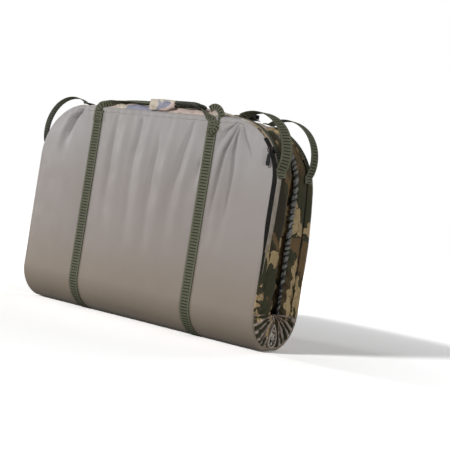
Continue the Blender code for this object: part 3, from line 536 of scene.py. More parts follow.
# Covers. Folds are lines down the face as (x, height) points, with a width and a depth at each; a negative
# depth is a valley and a positive one a ridge.
coverSettings = {
    "shoulder": 0.0065, "crown": 0.0045, "sideCrown": 0.0032, "crownPower": 0.6, "crownStart": 0.06,
    "columns": 240, "rows": 96, "cornerRows": 78, "strapHalf": 0.0130, "strapEase": 0.009, "foldGain": 1.45,
    "seamInset": 0.0062, "seamDepth": 0.0010, "seamWidth": 0.0011, "pucker": 0.0011, "puckerReach": 0.020,
    "gatherPitch": 0.021, "topZone": 0.07, "topEase": 0.04, "edgeKept": 0.25, "edgeEase": 0.014,
    "uneven": 0.0005, "unevenFine": 0.00025, "thickness": 0.0012,
}
frontFolds = [
    {"line": [(-0.1946, 0.444), (-0.229, 0.4075), (-0.2448, 0.3766), (-0.2512, 0.352), (-0.254, 0.315)],
     "width": [0.003, 0.006, 0.008, 0.011, 0.016], "depth": [-0.0035, -0.0055, -0.0042, -0.0022, 0]},
    {"line": [(-0.216, 0.440), (-0.247, 0.4075), (-0.263, 0.375), (-0.268, 0.335)],
     "width": [0.006, 0.010, 0.013, 0.018], "depth": [0.0015, 0.0028, 0.0022, 0]},
    {"line": [(-0.100, 0.43), (-0.104, 0.3838), (-0.1067, 0.352), (-0.104, 0.304), (-0.102, 0.257),
              (-0.099, 0.160)],
     "width": [0.006, 0.007, 0.008, 0.009, 0.011, 0.016],
     "depth": [-0.001, -0.0028, -0.0034, -0.0034, -0.0022, 0]},
    {"line": [(-0.028, 0.425), (-0.0303, 0.4103), (-0.034, 0.3743), (-0.0394, 0.3464), (-0.0368, 0.2813),
              (-0.0313, 0.2081), (-0.0213, 0.1253)],
     "width": [0.004, 0.006, 0.007, 0.008, 0.009, 0.011, 0.016],
     "depth": [-0.001, -0.0026, -0.0034, -0.0034, -0.0026, -0.0016, 0]},
    {"line": [(0.024, 0.405), (0.0247, 0.3635), (0.020, 0.3268), (0.0203, 0.2797), (0.0218, 0.2336),
              (0.0267, 0.168), (0.030, 0.1207)],
     "width": [0.005, 0.006, 0.007, 0.008, 0.010, 0.012, 0.016],
     "depth": [0, -0.0026, -0.0034, -0.003, -0.0024, -0.0014, 0]},
    {"line": [(0.112, 0.428), (0.102, 0.3933), (0.0915, 0.3559), (0.0855, 0.3208), (0.0777, 0.2812),
              (0.0789, 0.2344), (0.0842, 0.150)],
     "width": [0.004, 0.006, 0.008, 0.009, 0.010, 0.012, 0.016],
     "depth": [-0.0012, -0.0032, -0.004, -0.0042, -0.0034, -0.0022, 0]},
    {"line": [(0.152, 0.395), (0.1507, 0.3612), (0.140, 0.3382), (0.1333, 0.307), (0.130, 0.26)],
     "width": [0.004, 0.006, 0.007, 0.009, 0.012], "depth": [0, -0.0028, -0.003, -0.0018, 0]},
    {"line": [(-0.075, 0.435), (-0.072, 0.39), (-0.076, 0.33), (-0.073, 0.26), (-0.070, 0.18)],
     "width": [0.006, 0.011, 0.013, 0.015, 0.018], "depth": [0.0005, 0.0022, 0.0024, 0.0016, 0]},
    {"line": [(-0.001, 0.435), (-0.006, 0.38), (-0.010, 0.32), (-0.006, 0.24), (0.002, 0.16)],
     "width": [0.006, 0.011, 0.013, 0.015, 0.018], "depth": [0.0008, 0.0026, 0.0026, 0.0016, 0]},
    {"line": [(0.066, 0.43), (0.060, 0.38), (0.052, 0.31), (0.050, 0.24), (0.054, 0.16)],
     "width": [0.007, 0.012, 0.013, 0.014, 0.018], "depth": [0.0006, 0.0024, 0.0026, 0.0018, 0]},
    {"line": [(0.122, 0.40), (0.115, 0.35), (0.108, 0.30), (0.104, 0.24), (0.106, 0.17)],
     "width": [0.006, 0.010, 0.011, 0.012, 0.016], "depth": [0.0006, 0.0028, 0.0030, 0.0018, 0]},
    {"line": [(0.2265, 0.433), (0.2104, 0.3951), (0.1981, 0.3713), (0.1905, 0.3234), (0.1862, 0.2813),
              (0.1849, 0.2318), (0.1868, 0.170)],
     "width": [0.0025, 0.004, 0.0055, 0.007, 0.008, 0.010, 0.014],
     "depth": [-0.003, -0.0048, -0.0056, -0.0050, -0.0040, -0.0024, 0]},
    {"line": [(0.2285, 0.433), (0.2235, 0.3988), (0.220, 0.371), (0.2225, 0.3304), (0.2191, 0.2739),
              (0.2199, 0.2292), (0.215, 0.165)],
     "width": [0.0025, 0.0035, 0.005, 0.0065, 0.008, 0.010, 0.014],
     "depth": [-0.0028, -0.0042, -0.0044, -0.0048, -0.0042, -0.0024, 0]},
    {"line": [(0.2275, 0.433), (0.217, 0.395), (0.2085, 0.365), (0.2045, 0.325), (0.2015, 0.275),
              (0.2015, 0.225)],
     "width": [0.0025, 0.0045, 0.006, 0.0075, 0.009, 0.012],
     "depth": [0.0015, 0.0030, 0.0036, 0.0034, 0.0024, 0]},
    {"line": [(0.2295, 0.433), (0.2427, 0.4004), (0.2557, 0.3788), (0.2657, 0.3579), (0.272, 0.33)],
     "width": [0.0025, 0.004, 0.006, 0.008, 0.012], "depth": [-0.0028, -0.0040, -0.0030, -0.0018, 0]},
    {"line": [(0.2290, 0.433), (0.233, 0.398), (0.239, 0.365), (0.244, 0.325), (0.245, 0.27)],
     "width": [0.0025, 0.006, 0.009, 0.012, 0.016], "depth": [0.001, 0.0030, 0.0034, 0.0024, 0]},
    {"line": [(0.2245, 0.433), (0.196, 0.4124), (0.1809, 0.3876), (0.176, 0.36)],
     "width": [0.0025, 0.004, 0.006, 0.009], "depth": [-0.0022, -0.0036, -0.0022, 0]},
]


# Height that the folds add to a face: for each fold, the bell exp(-(d/w)^2) of the distance across the fold's
# line at that height, times its depth there.
def foldHeights(x, height, folds):
    total = np.zeros_like(x)
    gain = coverSettings["foldGain"]
    for fold in folds:
        line = np.array(fold["line"])[::-1]
        place = np.interp(height, line[:, 1], line[:, 0])
        width = np.interp(height, line[:, 1], np.array(fold["width"])[::-1])
        depth = np.interp(height, line[:, 1], np.array(fold["depth"])[::-1], left=0, right=fold["depth"][0])
        total += gain * depth * np.exp(-((x - place) / width) ** 2)
    return total


# Folds for the unseen rear face: soft valleys and ridges at seeded places, drawn in at the top seam.
def rearFoldList(seed):
    draw = np.random.RandomState(seed)
    folds = []
    for place in (-0.283, -0.245, -0.205, -0.110, -0.065, -0.020, 0.028, 0.074, 0.112, 0.206, 0.250, 0.288):
        sway = draw.uniform(-0.012, 0.012, 4)
        deep = -draw.uniform(0.0018, 0.0036)
        heights = (0.436, 0.385, 0.325, 0.25, 0.15)
        line = [(place + 0.4 * s, z) for s, z in zip((0, *sway), heights)]
        folds.append({"line": line, "width": [0.005, 0.008, 0.010, 0.013, 0.018],
                      "depth": [0.6 * deep, deep, 0.9 * deep, 0.5 * deep, 0]})
        folds.append({"line": [(px + 0.022, pz) for px, pz in line],
                      "width": [0.007, 0.011, 0.013, 0.015, 0.02],
                      "depth": [-0.4 * deep, -0.7 * deep, -0.6 * deep, -0.3 * deep, 0]})
    return folds


# Height of a cover's face over the board: a crown between the straps and beside them, level under the straps,
# with the folds and a faint unevenness on top.
def coverHeight(x, run, folds, seed):
    settings = coverSettings
    height = foldCentre + run - bendRun
    share = (run - settings["crownStart"]) / (topRun - settings["crownStart"])
    swell = np.sin(np.pi * np.clip(share, 0, 1)) ** settings["crownPower"]
    inner = mat["strapPlace"] - settings["strapHalf"]
    outer = mat["strapPlace"] + settings["strapHalf"]
    reach = mat["length"] / 2
    offset = np.abs(x)
    sideShare = np.clip((offset - outer) / (reach - outer), 0, 1)
    crown = np.where(offset < inner, settings["crown"] * swell * (1 - (offset / inner) ** 2),
                     settings["sideCrown"] * swell * 4 * sideShare * (1 - sideShare))
    clear = ease((np.abs(offset - mat["strapPlace"]) - settings["strapHalf"]) / settings["strapEase"])
    broad = settings["uneven"] * noise(x * 18 + 40, height * 9 + 20, seed)
    fine = settings["unevenFine"] * noise(x * 60 + 9, height * 30 + 5, seed + 1)
    return crown + clear * (foldHeights(x, height, folds) + (broad + fine))


# A cover: a face grid inside the shoulder line, and a strip that rolls over the shoulder in a quarter circle.
def makeCover(name, side, folds, seed):
    settings = coverSettings
    shoulder = settings["shoulder"]
    radius = cornerRadius - shoulder
    runs = np.linspace(0, cornerRun, settings["rows"], endpoint=False)
    turns = np.linspace(0, math.pi / 2, settings["cornerRows"])
    rowRun = np.concatenate([runs, cornerRun + radius * np.sin(turns)])
    rowHalf = np.concatenate([np.full_like(runs, mat["length"] / 2 - shoulder),
                              cornerPlace + radius * np.cos(turns)])
    shares = np.linspace(-1, 1, settings["columns"])
    x = rowHalf[:, None] * shares[None, :]
    run = np.repeat(rowRun[:, None], settings["columns"], 1)
    rise = coverHeight(x, run, folds, seed)
    edgeRoom = np.minimum((1 - np.abs(shares))[None, :] * rowHalf[:, None], (topRun - shoulder - run))
    rise = rise * (settings["edgeKept"] + (1 - settings["edgeKept"]) * ease(edgeRoom / settings["edgeEase"]))
    nearTop = ease((run - (topRun - settings["topZone"])) / settings["topEase"])
    gathers = np.cos(x * 2 * np.pi / settings["gatherPitch"] + 2.5 * noise(x * 22 + 30, 5, seed + 4))
    gathers = gathers * (0.6 + 0.4 * noise(x * 30 + 30, 9, seed + 5))
    rise = rise + settings["pucker"] * nearTop * gathers * np.exp(-edgeRoom / settings["puckerReach"])
    seam = np.exp(-((edgeRoom - settings["seamInset"]) / settings["seamWidth"]) ** 2)
    rise = rise - settings["seamDepth"] * nearTop * seam
    face = foldPoints(x, run, -rise, side)

    centreRun = np.minimum(rowRun, cornerRun)
    edgeTurns = np.concatenate([0 * runs, turns])
    left = np.stack([np.full_like(rowRun, -cornerPlace), centreRun, -np.cos(edgeTurns), np.sin(edgeTurns)], 1)
    topX = x[-1, 1:-1]
    top = np.stack([topX, np.full_like(topX, cornerRun), 0 * topX, 1 + 0 * topX], 1)
    right = (left * np.array([-1, 1, -1, 1]))[::-1]
    stations = np.vstack([left, top, right])
    edgeRise = np.concatenate([rise[:, 0], rise[-1, 1:-1], rise[::-1, -1]])
    roll = np.linspace(0, math.pi / 2, 8)
    inset = np.concatenate([shoulder * (1 - np.sin(roll)), [0.0002]])
    depth = np.concatenate([shoulder * (1 - np.cos(roll)), [shoulder + 0.002]])
    fade = np.concatenate([np.cos(roll), [0]])
    strip = outlinePoints(stations, inset[None, :], depth[None, :] - edgeRise[:, None] * fade[None, :], side)
    piece = buildPiece(name, [patch(face), patch(strip)], nylon, outward=(0, side, -0.2), mergeDistance=2e-5)
    thicken(piece, settings["thickness"])
    word = sideName(side)
    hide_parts(f"{word}_cover", f"{word}_foam", "spine_cover", "spine_foam")
    bendAtHinge(piece)


makeCover("frontCover", front, frontFolds, 3)
makeCover("rearCover", rear, rearFoldList(11), 8)
print("covers made")


liningSettings = {"inset": 0.003, "thickness": 0.0012, "swell": 0.0016, "columns": 90, "rows": 90,
                  "levelFrom": 0.27, "levelBelow": 0.05, "fade": 0.06}


# Linings: the inner face of each half's pad, a level sheet that swells a little over the board under it.
def makeLining(name, side, seed):
    settings = liningSettings
    radius = cornerRadius - settings["inset"]
    runs = np.linspace(0, cornerRun, settings["rows"], endpoint=False)
    turns = np.linspace(0, math.pi / 2, 16)
    rowRun = np.concatenate([runs, cornerRun + radius * np.sin(turns)])
    rowHalf = np.concatenate([np.full_like(runs, mat["length"] / 2 - settings["inset"]),
                              cornerPlace + radius * np.cos(turns)])
    x = rowHalf[:, None] * np.linspace(-1, 1, settings["columns"])[None, :]
    run = np.repeat(rowRun[:, None], settings["columns"], 1)
    inside = ease((settings["levelFrom"] - np.abs(x)) / settings["fade"])
    inside = inside * ease((topRun - settings["levelBelow"] - run) / settings["fade"])
    swell = settings["swell"] * inside * (0.6 + 0.5 * noise(x * 14 + 30, run * 10 + 30, seed))
    depth = mat["liningDepth"] + swell
    points = foldPoints(x, run, depth, side)
    piece = buildPiece(name, [patch(points)], liningNylon, outward=(0, -side, 0.2))
    thicken(piece, settings["thickness"])
    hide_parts(f"{sideName(side)}_lining", "spine_lining")
    bendAtHinge(piece)


makeLining("frontLining", front, 21)
makeLining("rearLining", rear, 22)


boxingSettings = {"section": [(0.0006, 0.0036), (-0.0006, 0.0055), (-0.0010, 0.0095), (-0.0012, 0.014),
                              (-0.0010, 0.0190), (-0.0004, 0.0232), (0.0008, 0.0250), (0.0022, 0.0246),
                              (0.0022, 0.0140), (0.0022, 0.0042)],
                  "from": 0.0036, "to": 0.0250, "gather": 0.0005, "topPuff": {front: 0.0095, rear: 0.0040},
                  "puffReach": 0.146, "puffFade": 0.040}


# The edge strip of each pad, a slightly padded band of camouflage cloth with small gathers along it. Along
# the top, between the handle's ends, it bulges by a half sine wave over its depth.
def makeBoxing(name, side):
    settings = boxingSettings
    stations = outlineStations(bendRun + 0.0004, 60, 40, 90)
    lengths = stationLengths(stations)
    inset, depth = np.asarray(settings["section"]).T[:, None, :]
    gather = settings["gather"] * noise(lengths[:, None] * 55, depth * 60 + 3, 31 + side)
    gather = gather * (inset < 0)
    onTop = ease((settings["puffReach"] - np.abs(stations[:, 0])) / settings["puffFade"])
    onTop = (onTop * (stations[:, 3] > 0.99) * (1 + 0.22 * noise(stations[:, 0] * 34 + 30, 4, 35)))[:, None]
    share = np.clip((depth - settings["from"]) / (settings["to"] - settings["from"]), 0, 1)
    over = np.sin(np.pi * share) ** 0.7 * (inset < 0.001)
    gather = gather + settings["topPuff"][side] * onTop * over
    points = outlinePoints(stations, inset - gather, depth, side)
    word = sideName(side)
    piece = buildPiece(name, [patch(points, tube=True)], camo, f"{word}_half")
    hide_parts(f"{word}_boxing")


makeBoxing("frontBoxing", front)
makeBoxing("rearBoxing", rear)


# Tray walls: one padded camouflage wall round three sides of each tray, blown up a little by simulated
# cloth. The section is in shares of (the wall's width, its height).
wallSettings = {
    "section": [(0.03, 0.01), (0.0, 0.12), (-0.02, 0.30), (-0.03, 0.5), (-0.02, 0.70), (0.0, 0.88),
                (0.08, 0.985), (0.28, 1.01), (0.5, 1.015), (0.72, 1.01), (0.92, 0.98), (1.0, 0.82),
                (1.0, 0.5), (0.99, 0.2), (0.95, 0.02), (0.5, 0.0)],
    "puff": 0.0030, "endPuff": 0.0200, "puffFade": 0.070, "voxel": 0.005, "pressure": 4.0, "cap": 0.004,
    "skirt": 0.030, "skirtFade": 0.060,
}


# The wall before it is blown up: its section round the outline, fuller along the top, and drawn down as a
# skirt at the bottom of the fold.
def makeWallForm(name, side):
    settings = wallSettings
    stations = outlineStations(bendRun + 0.0006, 44, 30, 60)
    across, rise = np.asarray(settings["section"]).T[:, None, :]
    outer = across < 0.15
    outerX = stations[:, 0] + stations[:, 2] * cornerRadius
    onTop = ease((cornerPlace - np.abs(outerX)) / settings["puffFade"])
    onTop = onTop * (stations[:, 3] > 0.99)
    puff = settings["puff"] + (settings["endPuff"] - settings["puff"]) * onTop
    inset = across * mat["wallWidth"] - puff[:, None] * (np.sin(np.pi * np.clip(rise, 0, 1)) ** 0.7 * outer)
    depth = mat["wallDepth"] + rise * wallHeights[side]
    reach = cornerRadius - inset
    x = stations[:, 0][:, None] + stations[:, 2][:, None] * reach
    run = stations[:, 1][:, None] + stations[:, 3][:, None] * reach
    low = 1 - ease((run - bendRun) / settings["skirtFade"])
    run = run - settings["skirt"] * low * np.clip(1 - rise, 0, 1) * outer
    return buildPiece(name, [patch(foldPoints(x, run, depth, side), tube=True)], camo)


# Blows a closed form up as cloth: voxel remesh, pressure with no gravity for 20 frames, the movement
# capped, the result applied, and one subdivision.
def inflate(piece, voxel, pressure, cap):
    bpy.context.view_layer.objects.active = piece
    for item in bpy.context.selected_objects:
        item.select_set(False)
    piece.select_set(True)
    remesh = piece.modifiers.new("remesh", "REMESH")
    remesh.mode, remesh.voxel_size = "VOXEL", voxel
    bpy.ops.object.modifier_apply(modifier="remesh")
    count = len(piece.data.vertices)
    before = np.zeros(count * 3, np.float32)
    piece.data.vertices.foreach_get("co", before)
    cloth = piece.modifiers.new("cloth", "CLOTH")
    cloth.settings.quality = 5
    cloth.settings.use_pressure = True
    cloth.settings.uniform_pressure_force = pressure
    cloth.settings.effector_weights.gravity = 0
    cloth.settings.tension_stiffness = 15
    cloth.settings.bending_stiffness = 0.3
    cloth.point_cache.frame_start, cloth.point_cache.frame_end = 1, 20
    scene = bpy.context.scene
    for step in range(1, 21):
        scene.frame_set(step)
    evaluated = piece.evaluated_get(bpy.context.evaluated_depsgraph_get())
    after = np.zeros(count * 3, np.float32)
    evaluated.data.vertices.foreach_get("co", after)
    piece.modifiers.remove(cloth)
    move = (after - before).reshape(-1, 3)
    size = np.linalg.norm(move, axis=1, keepdims=True)
    move *= np.minimum(1, cap / np.maximum(size, 1e-9))
    piece.data.vertices.foreach_set("co", (before.reshape(-1, 3) + move).ravel())
    piece.data.update()
    scene.frame_set(1)
    finer = piece.modifiers.new("finer", "SUBSURF")
    finer.levels = finer.render_levels = 1
    bpy.ops.object.modifier_apply(modifier="finer")
    piece.data.shade_smooth()


# Moves a piece's points along their normals by a given height function of their places.
def dent(piece, heightAt):
    mesh = piece.data
    places = np.zeros(len(mesh.vertices) * 3, np.float32)
    normals = np.zeros(len(mesh.vertices) * 3, np.float32)
    mesh.vertices.foreach_get("co", places)
    mesh.vertices.foreach_get("normal", normals)
    places, normals = places.reshape(-1, 3), normals.reshape(-1, 3)
    places = places + normals * heightAt(places)[:, None]
    mesh.vertices.foreach_set("co", places.astype(np.float32).ravel())
    mesh.update()


creaseSettings = {
    "slanted": 0.0019, "slantPitch": 0.026, "slantTop": 0.24, "slantFade": 0.14,
    "fine": 0.0008, "broad": 0.0012, "gather": 0.0009, "gatherPitch": 0.034, "gatherFrom": 0.40,
    "gatherFade": 0.03,
}


# Creases of a wall as heights at places: fine and broad wrinkles all over, sine folds that slant across the
# lower part, and upright gathers along the top.
def wallCreases(seed):
    settings = creaseSettings

    def heightAt(places):
        x, y, z = places.T
        low = ease((settings["slantTop"] - z) / settings["slantFade"])
        slope = z * 0.9 + np.abs(y) * 1.25 + 0.012 * noise(z * 20, y * 30, seed)
        slanted = np.sin(slope * 2 * np.pi / settings["slantPitch"])
        fine = noise(x * 40 + y * 25, z * 45 + y * 30, seed + 1)
        broad = noise(x * 14, z * 14 + y * 18, seed + 2)
        top = ease((z - settings["gatherFrom"]) / settings["gatherFade"])
        gathers = np.sin(x * 2 * np.pi / settings["gatherPitch"] + 3 * noise(x * 12, z * 9, seed + 3))
        return (settings["slanted"] * low * slanted + settings["fine"] * fine + settings["broad"] * broad
                + settings["gather"] * top * gathers)

    return heightAt


# One wall: its form, blown up, then creased.
def makeWall(name, side, seed):
    word = sideName(side)
    piece = makeWallForm(name, side)
    inflate(piece, wallSettings["voxel"], wallSettings["pressure"], wallSettings["cap"])
    dent(piece, wallCreases(seed))
    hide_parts(f"{word}_right_wall", f"{word}_left_wall", f"{word}_end_wall")
    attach(piece, f"{word}_half")


makeWall("frontWall", front, 41)
makeWall("rearWall", rear, 47)
print("walls made")


webSettings = {
    "pitch": 0.0062, "ribHeight": 0.0006, "steepness": 1.8, "fullness": 0.55, "edgeShare": 0.70,
    "edgeEase": 0.05, "spacing": 0.0011, "width": 0.025, "thickness": 0.0017, "rimFrom": 0.86,
    "rimReach": 0.16,
    "places": [-1, -0.97, -0.90, -0.78, -0.70, -0.66, -0.33, 0, 0.33, 0.66, 0.70, 0.78, 0.90, 0.97, 1],
}


# Webbing: a ribbon along a path, with cross ribs between plain edges. The section is a flat loop of points
# with thin rims. The ribs are a clipped cosine along the path, over the middle share of the width, and a
# fullness above 0 makes them broad with narrow grooves. Row widths narrow the ribbon, and a curl bends it
# round the path as an arc.
def webbing(name, path, across, width=webSettings["width"], rowWidth=1.0, curl=0.0):
    settings = webSettings
    ahead = unit(np.gradient(path, axis=0))
    across = unit(across - ahead * np.sum(across * ahead, 1, keepdims=True))
    out = np.cross(ahead, across)
    length = pathLengths(path)
    places = np.array(settings["places"])
    rimShare = np.clip((np.abs(places) - settings["rimFrom"]) / settings["rimReach"], 0, 1)
    rim = np.sqrt(np.clip(1 - rimShare ** 2, 0.05, 1))
    mask = ease((settings["edgeShare"] - np.abs(places)) / settings["edgeEase"])
    wave = np.cos(2 * np.pi * length / settings["pitch"])
    rib = 0.5 + 0.5 * np.clip(wave * settings["steepness"] + settings["fullness"], -1, 1)
    lift = settings["ribHeight"] * (rib[:, None] - 1) * mask[None, :]
    curl = np.maximum(curl * np.ones(len(path)), 1e-4)[:, None]
    bend = curl * places[None, :]
    radius = (width / 2 * rowWidth * np.ones(len(path)))[:, None] / curl
    sideStep = (radius * np.sin(bend))[..., None]
    deepStep = (radius * (1 - np.cos(bend)))[..., None]
    normal = across[:, None] * np.sin(bend)[..., None] + out[:, None] * np.cos(bend)[..., None]
    middle = path[:, None] + across[:, None] * sideStep - out[:, None] * deepStep
    rise = settings["thickness"] / 2 * rim[None, :, None] + lift[..., None]
    lower, upper = middle - normal * rise, middle + normal * rise
    points = np.concatenate([upper, lower[:, ::-1]], 1)
    # Painted shade: the grooves between the ribs are darkened, and the rims at both edges by 0.55.
    shade = 1 - mask[None, :] * (1 - rib[:, None])
    shade = shade * (1 - 0.55 * (np.abs(places) > 0.95))[None, :]
    shade = np.concatenate([shade, shade[:, ::-1]], 1)
    flat = np.concatenate([places, places[::-1]])[None, :] * width / 2
    uv = np.stack(np.broadcast_arrays(flat, length[:, None]), -1)
    return buildPiece(name, [patch(points, tube=True, uv=uv, rib=shade)], webbingLook)


# Straps: from the bottom of the fold up each face, lying on the cover, to their top stitching.
def makeStrap(hand, side):
    word, handWord = sideName(side), handName(hand)
    end = bendRun + mat["strapTop"] - foldCentre
    runs = np.arange(0, end + 1e-6, webSettings["spacing"])
    path = foldPoints(hand * mat["strapPlace"], runs, -(0.0003 + webSettings["thickness"] / 2), side)
    across = np.tile([float(-side), 0, 0], (len(runs), 1))
    piece = webbing(f"{word}{handWord.capitalize()}Strap", path, across)
    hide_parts(f"{word}_{handWord}_strap", f"spine_{handWord}_strap")
    bendAtHinge(piece)


for hand, side in fourCorners:
    makeStrap(hand, side)
print("straps made")


# Handles: a webbing ribbon up from each strap's end, over the top edge and along to the other strap. It
# starts flat on the face, twists level, and its edges curl under towards the grip. The route is given as
# (share of the strap's place, share of the way back, share of the lift).
handleSettings = {
    "lift": 0.0195, "setBack": 0.0150, "rearRise": 0.0045, "rearSetBack": 0.0200, "start": 0.4288,
    "sewn": 0.022,
    "shares": [(1, 0, 0), (0.985, 0, 0.16), (0.96, 0.1, 0.32), (0.87, 0.4, 0.50), (0.73, 0.8, 0.74),
               (0.54, 1, 0.94), (0.3, 1, 1)],
    "twist": [0, 0, 0.20, 0.70, 0.95, 1.0, 1, 1, 1], "curl": [0, 0, 0.1, 0.3, 0.6, 0.9, 1.2, 1.2, 1.2],
    "narrow": [1, 1, 0.80, 0.72, 0.80, 0.95, 1, 1, 1], "rightBulge": (0, 0.045, 0.085, 0.065, 0.02, 0, 0),
    "rightNarrow": [0.7, 0.6, 0.52, 0.55, 0.7, 0.95, 1, 1, 1], "coverGap": 0.0008, "halfThick": 0.0009,
    "footProud": 0.0012,
}


# Where a handle lies: how far out its ends are on the face, how far out its bar is, and the bar's height.
def handleLevel(side):
    settings = handleSettings
    back = settings["setBack"] if side == front else settings["rearSetBack"]
    face = foldRadius + settings["coverGap"] + settings["halfThick"]
    face = face * float(slimAt(np.array(settings["start"]), side))
    return face, face - back, mat["height"] + settings["lift"] + (settings["rearRise"] if side == rear else 0)


# Points of a handle's route: up from the left foot by the shares, across the bar, and down on the right,
# which is the mirror of the left but for the front one's bulge.
def handleRoute(side):
    settings = handleSettings
    start = settings["start"]
    face, bar, top = handleLevel(side)
    lean = float(slimAt(np.array(start - settings["sewn"]), side) / slimAt(np.array(start), side))
    foot = (-mat["strapPlace"], side * (face * lean + settings["footProud"]), start - settings["sewn"])
    half = [foot]
    for place, back, rise in settings["shares"]:
        out = face - (face - bar) * back
        half.append((-mat["strapPlace"] * place, side * out, start + (top - start) * rise))
    bulges = (0,) + (settings["rightBulge"] if side == front else (0,) * len(settings["rightBulge"]))
    right = [(-x - bulge * mat["strapPlace"], y, z) for (x, y, z), bulge in zip(half, bulges)]
    return np.array(half + [(0, side * bar, top)] + right[::-1])


# Bakes a handle's placement into its mesh.
def bendAtStitching(piece):
    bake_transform(piece)


# One handle: webbing along its route, with the twist, curl and width carried along it.
def makeHandle(side):
    word = sideName(side)
    path = smoothPath(handleRoute(side), webSettings["spacing"] * 1.3)
    twist, curl, narrow = (handleSettings[key] for key in ("twist", "curl", "narrow"))
    rightNarrow = handleSettings["rightNarrow"] if side == front else narrow
    widths = alongPath(narrow + rightNarrow[-2::-1], len(path))
    turn = alongPath(np.array(twist + twist[-2::-1]) * math.pi / 2, len(path))[:, None]
    curled = alongPath(curl + curl[-2::-1], len(path))
    sideways = np.array([[0.0, 1.0, 0.0]])
    level = unit(np.cross(sideways, np.gradient(path, axis=0)))
    across = -side * np.cos(turn) * level + np.sin(turn) * sideways
    piece = webbing(f"{word}Handle", path, across, curl=curled, rowWidth=widths)
    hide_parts(f"{word}_handle")
    bendAtStitching(piece)


makeHandle(front)
makeHandle(rear)


turnSettings = {
    "drop": [(0.1445, 0.4510), (0.1520, 0.4555), (0.1610, 0.4555), (0.1700, 0.4500), (0.1755, 0.4400),
             (0.1755, 0.4280), (0.1715, 0.4160), (0.1660, 0.4070), (0.1610, 0.4010)],
    "reach": 0.0735, "width": 0.0135, "middle": (0.158, 0, 0.430), "facing": (0.45, -0.89, 0.0),
    "lowFrom": 0.425, "lowReach": 0.0098, "narrowFrom": 0.428, "narrowing": 0.45,
}


# Round turn at the right end of the front handle: from the handle's end a narrower webbing goes over and
# down to the strap's stitching on the other side, which leaves a drop-shaped opening between the two.
def makeHandleTurn():
    settings = turnSettings
    drop = np.array(settings["drop"])
    low = ease((settings["lowFrom"] - drop[:, 1]) / 0.024)
    line = np.stack([drop[:, 0], -(settings["reach"] + settings["lowReach"] * low), drop[:, 1]], 1)
    path = smoothPath(line, webSettings["spacing"])
    narrow = 1 - settings["narrowing"] * ease((settings["narrowFrom"] - path[:, 2]) / 0.026)
    spread = unit((path - np.array([settings["middle"]])) * np.array([1, 0, 1]))
    facing = np.array(settings["facing"])
    across = spread - facing * np.sum(spread * facing, 1, keepdims=True)
    piece = webbing("frontHandleTurn", path, across, width=settings["width"], rowWidth=narrow)
    bendAtStitching(piece)


makeHandleTurn()


gripSettings = {
    "start": -0.013, "length": 0.066, "wall": 0.0042, "barHalf": 0.0125, "barThick": 0.0010, "drop": 0.0180,
    "flapFaces": (0.001, 0.0045), "flapHollow": 0.0022, "flapWave": 0.0006, "cuffGap": 0.0003,
    "cuffLength": 0.060, "cuffWall": 0.0040, "cuffHalf": 0.0128, "cuffThick": 0.0014, "ruches": 13,
    "slump": 0.0035,
}


# Grip sleeve: a padded camouflage wrap round the front handle, a rounded square in section, with a hanging
# flap.
def makeGripSleeve():
    settings = gripSettings
    _, bar, top = handleLevel(front)
    out = settings["barHalf"] + settings["wall"]
    rise = settings["barThick"] + settings["wall"]
    angle = np.linspace(0, 2 * np.pi, 40, endpoint=False)
    ringY = out * np.sign(np.cos(angle)) * np.abs(np.cos(angle)) ** 0.75
    ringZ = rise * np.sign(np.sin(angle)) * np.abs(np.sin(angle)) ** 0.8
    share = np.linspace(0, 1, 44)
    places = settings["start"] + settings["length"] * share
    wrinkle = 1 + 0.06 * noise(places[:, None] * 160 + 20, angle[None, :] * 2, 5)
    swell = 1 + 0.14 * np.sin(np.pi * share)[:, None]
    wrap = np.stack([places[:, None] + 0 * angle[None, :], -bar + ringY[None, :] * wrinkle,
                     top + ringZ[None, :] * wrinkle * swell], -1)
    hang = np.linspace(0, 1, 16)[None, :]
    slant = 1 - 0.35 * ease((share - 0.55) / 0.45)[:, None]
    flap = []
    for inner in settings["flapFaces"]:
        y = -bar - out + inner - settings["flapHollow"] * np.sin(np.pi * hang)
        y = y + settings["flapWave"] * np.sin(places[:, None] * 220)
        z = top - hang * settings["drop"] * slant + settings["flapWave"] * np.sin(places[:, None] * 160)
        flap.append(np.stack([np.broadcast_to(places[:, None], z.shape), y, z], -1))
    flap = np.concatenate([flap[0], flap[1][:, ::-1]], 1)
    sleeve = buildPiece("gripSleeve", [patch(wrap, tube=True), patch(flap, tube=True)], camoPale,
                        "front_handle")
    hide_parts("front_grip_sleeve")


# Cuff beside the sleeve: a tube whose radius follows |sin| of a wound-up angle, which makes slanting ruches,
# with painted shade in the valleys between them.
def makeGripCuff():
    settings = gripSettings
    _, bar, top = handleLevel(front)
    angle = np.linspace(0, 2 * np.pi, 40, endpoint=False)
    first = settings["start"] + settings["length"] + settings["cuffGap"]
    places = np.linspace(first, first + settings["cuffLength"], 170)
    along = (places - first) / settings["cuffLength"]
    wind = settings["ruches"] * along[:, None] + 0.5 * np.sin(angle[None, :] + 0.6)
    wind = wind + 0.5 * noise(along[:, None] * 14 + 20, angle[None, :] * 1.5, 9)
    ruche = 0.45 + 0.55 * np.abs(np.sin(np.pi * wind)) ** 0.7
    wallY = (settings["cuffHalf"] + settings["cuffWall"]) * 1.02
    wallZ = settings["cuffThick"] + settings["cuffWall"] * 1.05
    slump = -settings["slump"] * ease((along - 0.7) / 0.3)[:, None]
    points = np.stack([places[:, None] + 0 * angle[None, :],
                       -bar + wallY * np.cos(angle)[None, :] * (0.86 + 0.14 * ruche),
                       top + slump + wallZ * np.sin(angle)[None, :] * ruche], -1)
    # Painted shade: the ruche values darken the valleys nearly to black.
    cuff = buildPiece("gripCuff", [patch(points, tube=True, rib=ruche * 1.2 - 0.35)], cuffLook,
                      "front_handle")
    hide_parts("front_grip_cuff")


makeGripSleeve()
makeGripCuff()


